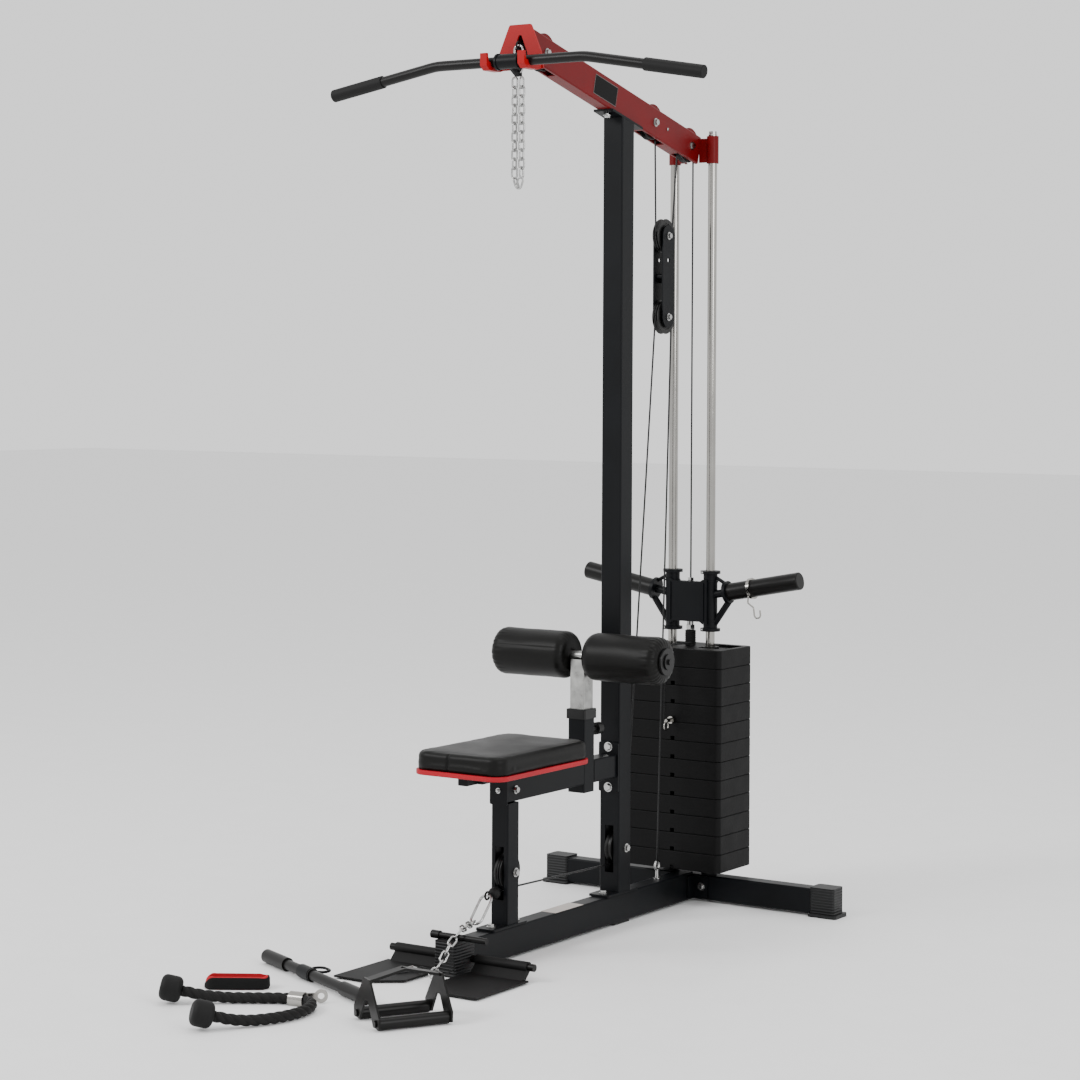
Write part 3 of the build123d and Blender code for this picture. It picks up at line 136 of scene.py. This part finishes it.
def leather(name, colour, rough):
    """Upholstery vinyl: small pebbled cells over a slow undulation."""
    m = material(name, colour, rough, vary=0.2, vary_scale=14, bump=0.35, bump_scale=90, bump_mm=0.4, spec=0.16)
    nodes, links = m.node_tree.nodes, m.node_tree.links
    cells = nodes.new("ShaderNodeTexVoronoi")
    cells.inputs["Scale"].default_value = 420
    links.new(nodes["Texture Coordinate"].outputs["Object"], cells.inputs["Vector"])
    pebble = nodes.new("ShaderNodeBump")
    pebble.inputs["Strength"].default_value = 0.5
    pebble.inputs["Distance"].default_value = 0.0003
    links.new(cells.outputs["Distance"], pebble.inputs["Height"])
    links.new(nodes["Bump"].outputs["Normal"], pebble.inputs["Normal"])
    links.new(pebble.outputs["Normal"], nodes["Principled BSDF"].inputs["Normal"])
    return m


black = material("black_powder", (0.0026, 0.0031, 0.0040), 0.42, bump=0.25, bump_scale=520, bump_mm=0.12, spec=0.13)
black_gloss = material("black_gloss", (0.0024, 0.0022, 0.0020), 0.36, bump=0.15, bump_scale=420, spec=0.2)
red = material("red_powder", (0.115, 0.0018, 0.0030), 0.38, vary=0.12, bump=0.25, bump_scale=520, bump_mm=0.12,
               spec=0.14)
red_bright = material("red_enamel", (0.30, 0.0035, 0.0050), 0.36, vary=0.08, bump=0.2, bump_scale=520, spec=0.15)
chrome = material("chrome_rod", (0.36, 0.35, 0.33), 0.14, 1.0, vary=0.08, bump=0.03, bump_scale=60, rough_vary=0.05)
silver = material("galvanised_post", (0.33, 0.33, 0.32), 0.30, 0.95, vary=0.30, vary_scale=40, bump=0.25,
                  bump_scale=140, bump_mm=0.2, rough_vary=0.1)
zinc = material("zinc_plate", (0.40, 0.40, 0.395), 0.20, 1.0, vary=0.2, vary_scale=60, bump=0.1, bump_scale=200)
rubber = material("black_rubber", (0.0040, 0.0040, 0.0040), 0.6, bump=0.4, bump_scale=260, bump_mm=0.25, spec=0.2)
ribbed = material("ribbed_rubber", (0.0042, 0.0044, 0.0048), 0.5, bump=0.4, bump_scale=260, bump_mm=0.25, spec=0.3)
nylon = material("black_nylon", (0.0036, 0.0036, 0.0036), 0.38, bump=0.2, bump_scale=200, spec=0.3)
shell = material("plate_shell", (0.0022, 0.0022, 0.0023), 0.52, vary=0.35, vary_scale=22, bump=0.7, bump_scale=130,
                 bump_mm=0.6, rough_vary=0.12, spec=0.12)
hide = leather("black_hide", (0.0018, 0.0017, 0.0014), 0.42)
red_band = material("red_band", (0.34, 0.0035, 0.012), 0.5, vary=0.12, bump=0.5, bump_scale=700, bump_mm=0.2, spec=0.25)
coat_cable = material("cable_coat", (0.0040, 0.0040, 0.0044), 0.35, bump=0.3, bump_scale=900, spec=0.3)
rope_fibre = material("rope_fibre", (0.0042, 0.0040, 0.0038), 0.6, vary=0.5, vary_scale=120, bump=0.9,
                      bump_scale=1400, bump_mm=0.4, spec=0.2)
web_black = material("web_black", (0.0045, 0.0045, 0.0045), 0.75, bump=0.8, bump_scale=900, bump_mm=0.4, spec=0.15)
web_red = material("web_red", (0.42, 0.010, 0.018), 0.7, vary=0.15, bump=0.8, bump_scale=900, bump_mm=0.4, spec=0.2)


def add_ribs(m, spacing):
    """Horizontal ribs, spacing metres apart, over a surface's grain."""
    nodes, links = m.node_tree.nodes, m.node_tree.links
    wave = nodes.new("ShaderNodeTexWave")
    wave.bands_direction = "Z"
    wave.inputs["Scale"].default_value = 0.314 / spacing
    links.new(nodes["Texture Coordinate"].outputs["Object"], wave.inputs["Vector"])
    relief = nodes.new("ShaderNodeBump")
    relief.inputs["Strength"].default_value = 0.9
    relief.inputs["Distance"].default_value = 0.0016
    links.new(wave.outputs["Fac"], relief.inputs["Height"])
    links.new(nodes["Bump"].outputs["Normal"], relief.inputs["Normal"])
    links.new(relief.outputs["Normal"], nodes["Principled BSDF"].inputs["Normal"])


add_ribs(ribbed, 0.0075)
label_pale = material("blank_sticker", (0.42, 0.38, 0.35), 0.5, vary=0.08, vary_scale=30, bump=0.05)
label_dark = material("blank_badge", (0.0015, 0.0015, 0.0015), 0.4, bump=0.05, spec=0.08)
label_trim = material("badge_trim", (0.10, 0.09, 0.088), 0.4, vary=0.08, bump=0.05)

looks = {
    "top_boom": red, "bar_cradle": red_bright, "rod_bracket": red, "guide_rods": chrome, "knee_post": silver,
    "rope_swivel": chrome, "frame_bolts": zinc, "spring_collar": chrome, "stem": zinc, "selector_pin": chrome,
    "top_carabiner": zinc, "top_chain": zinc, "low_chain": zinc, "rubber_shoes": ribbed, "foot_lock_pin": zinc, "stem_bumper": rubber,
    "cable_end_low": rubber, "cable_end_top": rubber, "bar_grips": rubber, "rope_ends": rubber, "foot_plate_left": rubber, "foot_plate_right": rubber,
    "spring_pin": nylon, "knee_collar": nylon, "roller_end_discs": nylon, "seat_board": red_band,
    "weight_plates_lifted": shell, "weight_plates_resting": shell, "lat_bar": black_gloss,
    "weight_horns": black_gloss, "short_bar": black_gloss, "row_handle": black_gloss, "foot_bars": black_gloss,
}
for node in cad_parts:
    obj = bpy.data.objects[node]
    look = looks.get(node, nylon if node.startswith("pulley_") else black)
    obj.data.materials.clear()
    obj.data.materials.append(look)


# the pulley block's two bolts are bright, its plates black
block = bpy.data.objects["block_plates"]
block.data.materials.append(zinc)
for face in block.data.polygons:
    y, z = (block.matrix_world @ face.center).yz
    if abs(face.center.x) > 0.0162 and min(math.hypot(y - 0.233, z - h) for h in (1.823, 1.603)) < 0.014:
        face.material_index = 1


# ------------------------------------------------------------ mesh helpers
def mesh_piece(name, verts, faces, look, smooth=True):
    """Makes one piece from points in metres."""
    mesh = bpy.data.meshes.new(name)
    mesh.from_pydata([tuple(v) for v in verts], [], faces)
    mesh.materials.append(look)
    obj = bpy.data.objects.new(name, mesh)
    bpy.context.scene.collection.objects.link(obj)
    if smooth:
        mesh.polygons.foreach_set("use_smooth", [True] * len(faces))
    mesh.update()
    return obj


def tube(name, points, radius, look, sides=12, section=None):
    """A tube along points; section(angle, distance) scales its radius."""
    points = [Vector(p) for p in points]
    verts, faces = [], []
    heading = (points[1] - points[0]).normalized()
    normal = heading.orthogonal().normalized()
    travelled = 0.0
    for i, p in enumerate(points):
        ahead = points[min(i + 1, len(points) - 1)] - points[max(i - 1, 0)]
        new_heading = ahead.normalized()
        normal = heading.rotation_difference(new_heading) @ normal
        heading = new_heading
        side = heading.cross(normal)
        if i:
            travelled += (p - points[i - 1]).length
        for k in range(sides):
            a = 2 * math.pi * k / sides
            r = radius * (section(a, travelled) if section else 1)
            verts.append(p + normal * (r * math.cos(a)) + side * (r * math.sin(a)))
    for i in range(len(points) - 1):
        for k in range(sides):
            j = (k + 1) % sides
            faces.append((i * sides + k, i * sides + j, (i + 1) * sides + j, (i + 1) * sides + k))
    faces.append(tuple(range(sides - 1, -1, -1)))
    faces.append(tuple(range(len(verts) - sides, len(verts))))
    return mesh_piece(name, verts, faces, look)


def split(a, b, count):
    """Evenly spaced points from a to b."""
    a, b = Vector(a), Vector(b)
    return [a + (b - a) * (k / count) for k in range(count + 1)]


# ------------------------------------------------------------ cables
CABLE_R = 0.0024


def belt(start, wheels, end):
    """Tangent points of a cable round wheels of (y, z, radius, sense): the runs between them."""
    stops = [(*start, 0, 1)] + wheels + [(*end, 0, 1)]
    runs = []
    for (y0, z0, r0, s0), (y1, z1, r1, s1) in zip(stops, stops[1:]):
        length = math.hypot(y1 - y0, z1 - z0)
        a = math.atan2(z1 - z0, y1 - y0) - math.asin((s1 * r1 - s0 * r0) / length)
        left = (-math.sin(a), math.cos(a))
        runs.append(((y0 - left[0] * s0 * r0, z0 - left[1] * s0 * r0),
                     (y1 - left[0] * s1 * r1, z1 - left[1] * s1 * r1)))
    return runs


def arc(wheel, a, b):
    """Points of a cable's arc round a wheel, from a to b, in its sense."""
    y, z, r, s = wheel
    t0, t1 = math.atan2(a[1] - z, a[0] - y), math.atan2(b[1] - z, b[0] - y)
    turn = ((t1 - t0) * s) % (2 * math.pi) * s
    return [(0, y + r * math.cos(t0 + turn * k / 20), z + r * math.sin(t0 + turn * k / 20)) for k in range(21)]


def boom_z(y):
    return 2.1618 - 0.25 * y


BIG, SMALL = 0.042, 0.032
upper_wheels = [(-0.378, boom_z(-0.378), SMALL, -1), (0.152, boom_z(0.152), SMALL, -1), (0.233, 1.823, BIG, 1),
                (0.346, boom_z(0.346), BIG, -1)]
lower_wheels = [(0.233, 1.603, BIG, 1), (0.006, 0.199, BIG, -1), (-0.507, 0.213, BIG, -1)]
upper = belt((-0.442, 2.263), upper_wheels, (0.388, 0.8872))
lower = belt((0.215, 0.133), lower_wheels, (-0.563, 0.167))


def x0(point):
    return (0, point[0], point[1])


def cable_run(name, a, b, node):
    """One straight run, baked in place in world space."""
    run = tube(name, split(x0(a), x0(b), 24), CABLE_R, coat_cable)
    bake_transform(run)
    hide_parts(node)


def cable_fixed(name, points, body, node):
    """A stretch of cable that stays with one body."""
    run = tube(name, points, CABLE_R, coat_cable)
    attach(run, body)
    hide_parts(node)


cable_fixed("cable_over_boom", split(x0(upper[0][0]), x0(upper[0][1]), 4)[:-1]
            + arc(upper_wheels[0], upper[0][1], upper[1][0]) + split(x0(upper[1][0]), x0(upper[1][1]), 12)[1:-1]
            + arc(upper_wheels[1], upper[1][1], upper[2][0]), "machine", "upper_cable")
cable_run("cable_to_block", upper[2][0], upper[2][1], "upper_cable")
cable_fixed("cable_round_block_top", arc(upper_wheels[2], upper[2][1], upper[3][0]), "block", "upper_cable")
cable_run("cable_from_block", upper[3][1], upper[3][0], "upper_cable")
cable_fixed("cable_over_rear", arc(upper_wheels[3], upper[3][1], upper[4][0]), "machine", "upper_cable")
cable_run("cable_to_carriage", upper[4][0], upper[4][1], "upper_cable")
cable_run("low_cable_anchor", lower[0][0], lower[0][1], "lower_cable")
cable_fixed("low_cable_round_block", arc(lower_wheels[0], lower[0][1], lower[1][0]), "block", "lower_cable")
cable_run("low_cable_down", lower[1][1], lower[1][0], "lower_cable")
cable_fixed("low_cable_under_seat", arc(lower_wheels[1], lower[1][1], lower[2][0])
            + split(x0(lower[2][0]), x0(lower[2][1]), 16)[1:-1] + arc(lower_wheels[2], lower[2][1], lower[3][0]),
            "machine", "lower_cable")
cable_run("low_cable_end", lower[3][0], lower[3][1], "lower_cable")


# ------------------------------------------------------------ thigh rollers
def roller(name, node, side):
    """Foam roller in sewn vinyl: rounded ends, gathered pleats towards the end disc, one long seam."""
    low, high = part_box(node)
    cy, cz = (low[1] + high[1]) / 2, (low[2] + high[2]) / 2
    radius = (high[2] - low[2]) / 2 - 0.0006
    x_in, x_out = (low[0], high[0]) if side > 0 else (high[0], low[0])
    length = abs(x_out - x_in)
    around, corner = 144, 0.024
    verts, faces = [], []
    outline = []
    for k in range(9):
        a = math.pi / 2 * k / 8
        outline.append((corner * (1 - math.cos(a)), radius - corner + corner * math.sin(a)))
    body = [(corner + (length - 2 * corner) * k / 40, radius) for k in range(1, 40)]
    bore = [(0.0008, 0.0138), (0.0004, 0.024)]
    end = bore + outline
    outline = end + body + [(length - x, r) for x, r in reversed(end)]
    for x, r in outline:
        near_end = max(0.0, 1 - abs(length - x) / 0.05)
        near_start = max(0.0, 1 - x / 0.04)
        for k in range(around):
            a = 2 * math.pi * k / around
            pleat = math.cos(26 * a + 2.2 * math.sin(3 * a)) + 0.5 * math.cos(41 * a + 1)
            dip = 0.0011 * pleat * (near_end ** 1.4 + 0.35 * near_start ** 2) * min(1, r / 0.03)
            soft = 0.0012 * noise.noise(Vector((x * 14 + side * 3, math.cos(a) * 1.6, math.sin(a) * 1.6)))
            seam_a = (a - math.radians(200 if side > 0 else 160) + math.pi) % (2 * math.pi) - math.pi
            seam = -0.0012 * math.exp(-(seam_a * radius / 0.0022) ** 2) if r > radius - 0.003 else 0
            rr = min(r + dip + soft + seam - 0.0012, radius)
            verts.append((x_in + side * x, cy + rr * math.cos(a), cz + rr * math.sin(a)))
    for i in range(len(outline) - 1):
        for k in range(around):
            j = (k + 1) % around
            face = (i * around + k, i * around + j, (i + 1) * around + j, (i + 1) * around + k)
            faces.append(face if side < 0 else face[::-1])
    last = (len(outline) - 1) * around
    for k in range(around):
        j = (k + 1) % around
        faces.append((k, last + k, last + j, j))
    piece = mesh_piece(name, verts, faces, hide)
    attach(piece, "roller_r" if side > 0 else "roller_l")
    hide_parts(node)


roller("roller_pad_left", "roller_left", -1)
roller("roller_pad_right", "roller_right", 1)


def stitched_in(obj):
    """The object's mesh with its modifiers applied."""
    mesh = bpy.data.meshes.new_from_object(obj.evaluated_get(bpy.context.evaluated_depsgraph_get()))
    obj.modifiers.clear()
    obj.data = mesh


def inflate(obj, cell, pressure, cap, floor_z):
    """Blows the form up as sewn cloth over foam, held where it rests on its board."""
    remesh = obj.modifiers.new("cells", "REMESH")
    remesh.mode = "VOXEL"
    remesh.voxel_size = cell
    stitched_in(obj)
    rest = [v.co.copy() for v in obj.data.vertices]
    held = obj.vertex_groups.new(name="held")
    held.add([i for i, co in enumerate(rest) if co.z < floor_z], 1.0, "REPLACE")
    cloth = obj.modifiers.new("cloth", "CLOTH").settings
    cloth.use_pressure = True
    cloth.uniform_pressure_force = pressure
    cloth.effector_weights.gravity = 0
    cloth.vertex_group_mass = "held"
    for step in range(1, 21):
        bpy.context.scene.frame_set(step)
    stitched_in(obj)
    bpy.context.scene.frame_set(1)
    for v, co in zip(obj.data.vertices, rest):
        move = v.co - co
        v.co = co + move * (min(move.length, cap) / max(move.length, 1e-9))
    finer = obj.modifiers.new("finer", "SUBSURF")
    finer.levels = finer.render_levels = 1
    stitched_in(obj)
    obj.data.polygons.foreach_set("use_smooth", [True] * len(obj.data.polygons))


# ------------------------------------------------------------ seat pad
def rounded_outline(half_x, half_y, corner, count=12):
    """Points round a rounded rectangle, anticlockwise from the right side."""
    pts = []
    for cx, cy, a0 in ((1, 1, 0), (-1, 1, 90), (-1, -1, 180), (1, -1, 270)):
        for k in range(count + 1):
            a = math.radians(a0 + 90 * k / count)
            pts.append((cx * (half_x - corner) + corner * math.cos(a), cy * (half_y - corner) + corner * math.sin(a)))
    return pts


def seat_pad():
    """The seat cushion: crowned top, bulging sides, one upright upholstery seam in the front face."""
    low, high = (Vector(v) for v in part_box("seat_pad"))
    mid = (low + high) / 2
    half_x, half_y, height = (high.x - low.x) / 2, (high.y - low.y) / 2, high.z - low.z
    base = rounded_outline(half_x - 0.001, half_y - 0.001, 0.036, 14)
    fine = []
    for a, b in zip(base, base[1:] + base[:1]):
        steps = max(1, round(math.dist(a, b) / 0.006))
        fine += [(a[0] + (b[0] - a[0]) * k / steps, a[1] + (b[1] - a[1]) * k / steps) for k in range(steps)]
    count = len(fine)
    rows = []
    for t in (0, 0.12, 0.25, 0.4, 0.55, 0.68):
        bulge = 0.0028 * math.sin(math.pi * min(t / 0.8, 1))
        rows.append((0.0028 - bulge, t * height * 0.80))
    for k in range(1, 9):
        a = math.pi / 2 * k / 8
        rows.append((0.0028 * 0.2 + 0.013 * (1 - math.cos(a)), height * (0.62 + 0.34 * math.sin(a))))
    verts, faces = [], []
    for inset, z in rows:
        for x, y in fine:
            k = 1 - inset / max(math.hypot(x, y), 1e-6)
            wrinkle = 0.0006 * noise.noise(Vector((x * 40, y * 40, z * 60)))
            seam = 0.0022 * math.exp(-((x + 0.025) / 0.0018) ** 2) if y < -half_y + 0.004 else 0
            verts.append((mid.x + x * k, mid.y + y * k + seam, low.z + z + wrinkle))
    rings = [1 - i / 22 for i in range(1, 22)]
    edge_inset, edge_z = rows[-1]
    for s in rings:
        for x, y in fine:
            k = (1 - edge_inset / max(math.hypot(x, y), 1e-6)) * s
            px, py = x * k, y * k
            crown = (1 - s ** 2.6)
            sag = 0.0007 * noise.noise(Vector((px * 9, py * 9, 2.0))) * min(1, (1 - s) * 6)
            z = low.z + edge_z + (height - edge_z - 0.0006) * crown + sag - 0.0003
            verts.append((mid.x + px, mid.y + py, z))
    verts.append((mid.x, mid.y, high.z - 0.0009))
    total_rows = len(rows) + len(rings)
    for i in range(total_rows - 1):
        for k in range(count):
            j = (k + 1) % count
            faces.append((i * count + k, i * count + j, (i + 1) * count + j, (i + 1) * count + k))
    top = len(verts) - 1
    for k in range(count):
        faces.append(((total_rows - 1) * count + k, (total_rows - 1) * count + (k + 1) % count, top))
    faces.append(tuple(range(count - 1, -1, -1)))
    pad = mesh_piece("seat_cushion", verts, faces, hide)
    inflate(pad, 0.004, 4.0, 0.0013, low.z + 0.003)
    for v in pad.data.vertices:
        into = max(0.0, 1 - (v.co.y - mid.y + half_y) / 0.02)
        v.co.y += 0.0034 * into * math.exp(-((v.co.x - mid.x + 0.025) / 0.0028) ** 2)
        v.co.z = min(max(v.co.z, low.z), high.z + 0.006)
    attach(pad, "machine")
    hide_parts("seat_pad")


seat_pad()

# ------------------------------------------------------------ triceps rope
route = [Vector(p) / 1000 for p in (
    (-338, -1334, 30), (-298, -1307, 19.5), (-252, -1274, 13.8), (-198, -1237, 13.5), (-146, -1203, 13.4),
    (-102, -1190, 13.4), (-66, -1200, 13.5), (-42, -1230, 13.7), (-29, -1274, 13.5), (-31, -1324, 13.4),
    (-46, -1372, 13.7), (-70, -1414, 14.3), (-96, -1448, 19.5), (-122, -1477, 30))]


def rounded_route(points, steps=10):
    """Straight runs joined by tangent arcs, each as large as its two runs allow."""
    out = [points[0]]
    for a, b, c in zip(points, points[1:], points[2:]):
        into, away = (b - a), (c - b)
        reach = 0.45 * min(into.length, away.length)
        start, end = b - into.normalized() * reach, b + away.normalized() * reach
        for k in range(steps + 1):
            t = k / steps
            out.append(start * (1 - t) ** 2 + b * (2 * t * (1 - t)) + end * t ** 2)
    return out + [points[-1]]


def even(points, step):
    """The same line with evenly spaced points."""
    out, carry = [points[0]], 0.0
    for a, b in zip(points, points[1:]):
        length = (b - a).length
        d = step - carry
        while d <= length:
            out.append(a + (b - a) * (d / length))
            d += step
        carry = length - (d - step)
    if (out[-1] - points[-1]).length > step * 0.3:
        out.append(points[-1])
    return out


rope_line = even(rounded_route(route), 0.0022)


def strands(angle, travelled):
    """Three laid strands: the section's three lobes turn as the rope runs on."""
    lobe = (1.5 * (angle - travelled * 2 * math.pi / 0.068)) % math.pi
    return 0.74 + 0.26 * math.sin(lobe) ** 0.7


rope = tube("rope_strands", rope_line, 0.013, rope_fibre, sides=48, section=strands)
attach(rope, "rope_attachment")
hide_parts("rope_cord")

# ------------------------------------------------------------ ankle strap
strap_frame = Matrix.Translation((-0.334, -1.142, 0)) @ Matrix.Rotation(math.atan2(0.54, 0.84), 4, "Z")


def strap_loop(name, outer_l, outer_w, thick, z0, z1, look, wave):
    """One closed layer of webbing standing on its edge, its rim not quite straight."""
    verts, faces = [], []
    path = []
    half = (outer_l - outer_w) / 2
    for k in range(120):
        a = 2 * math.pi * k / 120
        cx = half if math.cos(a) > 0 else -half
        path.append((cx + outer_w / 2 * math.cos(a), outer_w / 2 * math.sin(a), a))
    levels = 10
    for shell_t in (0, thick):
        for i in range(levels + 1):
            t = i / levels
            for x, y, a in path:
                n = Vector((math.cos(a), math.sin(a), 0))
                soft = 0.0016 * noise.noise(Vector((x * 22, y * 22, t * 1.5 + wave)))
                rim = 0.0024 * math.sin(3 * a + wave) * t
                roll = -0.0022 * (2 * t - 1) ** 4
                low = (0.55 if look is web_black else 0.12) * max(0.0, -math.cos(a)) ** 3
                z = z0 + (z1 - z0 - 0.0026) * t * (1 - low) + rim * 0.5 + 0.0014 * t
                verts.append(strap_frame @ (Vector((x, y, z)) + n * (soft + roll - shell_t - 0.001)))
    size = 120
    inner = (levels + 1) * size
    for i in range(levels):
        for k in range(size):
            j = (k + 1) % size
            faces.append((i * size + k, i * size + j, (i + 1) * size + j, (i + 1) * size + k))
            faces.append((inner + i * size + k, inner + (i + 1) * size + k,
                          inner + (i + 1) * size + j, inner + i * size + j))
    for k in range(size):
        j = (k + 1) % size
        faces.append((k, inner + k, inner + j, j))
        faces.append((levels * size + k, levels * size + j,
                      inner + levels * size + j, inner + levels * size + k))
    piece = mesh_piece(name, verts, faces, look)
    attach(piece, "strap")
    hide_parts("ankle_strap")


strap_loop("strap_outer", 0.157, 0.055, 0.0035, 0.001, 0.0285, web_black, 0.4)
strap_loop("strap_lining", 0.1495, 0.0475, 0.003, 0.002, 0.0308, web_red, 1.7)


# ------------------------------------------------------------ small things
def coil(name, points, wire, coil_r, pitch, look):
    """A wire wound round a route."""
    line = even(rounded_route([Vector(p) for p in points], 6), 0.0006)
    heading = (line[1] - line[0]).normalized()
    normal = heading.orthogonal().normalized()
    out, travelled = [], 0.0
    for i in range(1, len(line)):
        step = line[i] - line[i - 1]
        new_heading = step.normalized()
        normal = heading.rotation_difference(new_heading) @ normal
        heading = new_heading
        travelled += step.length
        a = travelled / pitch * 2 * math.pi
        out.append(line[i] + (normal * math.cos(a) + heading.cross(normal) * math.sin(a)) * coil_r)
    return tube(name, out, wire, look, sides=6)


pin_z = 0.6996 - 4 * 0.0503 + 0.0061
cord_points = [(0.012, 0.368, 0.708), (0.006, 0.279, 0.712), (0.002, 0.267, 0.690), (0, 0.251, 0.600),
               (0, 0.249, pin_z + 0.001)]
lanyard = coil("lanyard_coil", cord_points, 0.0009, 0.0024, 0.0036, coat_cable)
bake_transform(lanyard)
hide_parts("pin_lanyard")


def plate_on(name, centre, half, look, body, tilt=0.0):
    """A thin blank plate, its half sizes along x, y and z, tilted about X."""
    verts = [Vector((x * half[0], y * half[1], z * half[2])) for x in (-1, 1) for y in (-1, 1) for z in (-1, 1)]
    turn = Matrix.Translation(centre) @ Matrix.Rotation(tilt, 4, "X")
    faces = [(0, 1, 3, 2), (4, 6, 7, 5), (0, 4, 5, 1), (2, 3, 7, 6), (0, 2, 6, 4), (1, 5, 7, 3)]
    piece = mesh_piece(name, [turn @ v for v in verts], faces, look, smooth=False)
    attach(piece, body)


slope = math.atan(-0.25)
for side, tag in ((1, "right"), (-1, "left")):
    plate_on("boom_badge_" + tag, (side * 0.0213, -0.10, boom_z(-0.10)), (0.0004, 0.056, 0.026), label_trim,
             "machine", slope)
    plate_on("boom_badge_face_" + tag, (side * 0.0216, -0.10, boom_z(-0.10)), (0.0004, 0.0545, 0.0245), label_dark,
             "machine", slope)
plate_on("base_sticker", (0, -0.255, 0.0803), (0.0225, 0.066, 0.0003), label_pale, "machine")



def screw(name, at, direction, radius, body):
    """A small bright screw head standing on a face."""
    head = tube(name, [Vector(at), Vector(at) + Vector(direction) * 0.0022], radius, zinc, sides=16)
    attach(head, body)


for side, tag in ((1, "right"), (-1, "left")):
    for z, level in ((0.904, "top"), (0.746, "low")):
        screw("sleeve_screw_%s_%s" % (tag, level), (side * 0.06 - 0.012, 0.3672, z), (0, -1, 0), 0.0032, "carriage")
    screw("boom_screw_" + tag, (side * 0.021, 0.215, boom_z(0.215) + 0.002), (side, 0, 0), 0.004, "machine")

pin_cord = tube("foot_pin_cord", rounded_route([Vector(p) for p in (
    (-0.062, -0.796, 0.0166), (-0.045, -0.80, 0.024), (-0.02, -0.795, 0.018), (0.01, -0.80, 0.014),
    (0.03, -0.79, 0.018), (0.034, -0.776, 0.03))], 6), 0.0014, coat_cable, sides=8)
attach(pin_cord, "machine")

# ------------------------------------------------------------ floor
floor = mesh_piece("floor", [(-30, -30, 0), (30, -30, 0), (30, 30, 0), (-30, 30, 0)], [(0, 1, 2, 3)],
                   material("floor_white", (0.86, 0.86, 0.86), 0.6, vary=0.01, bump=0.02))
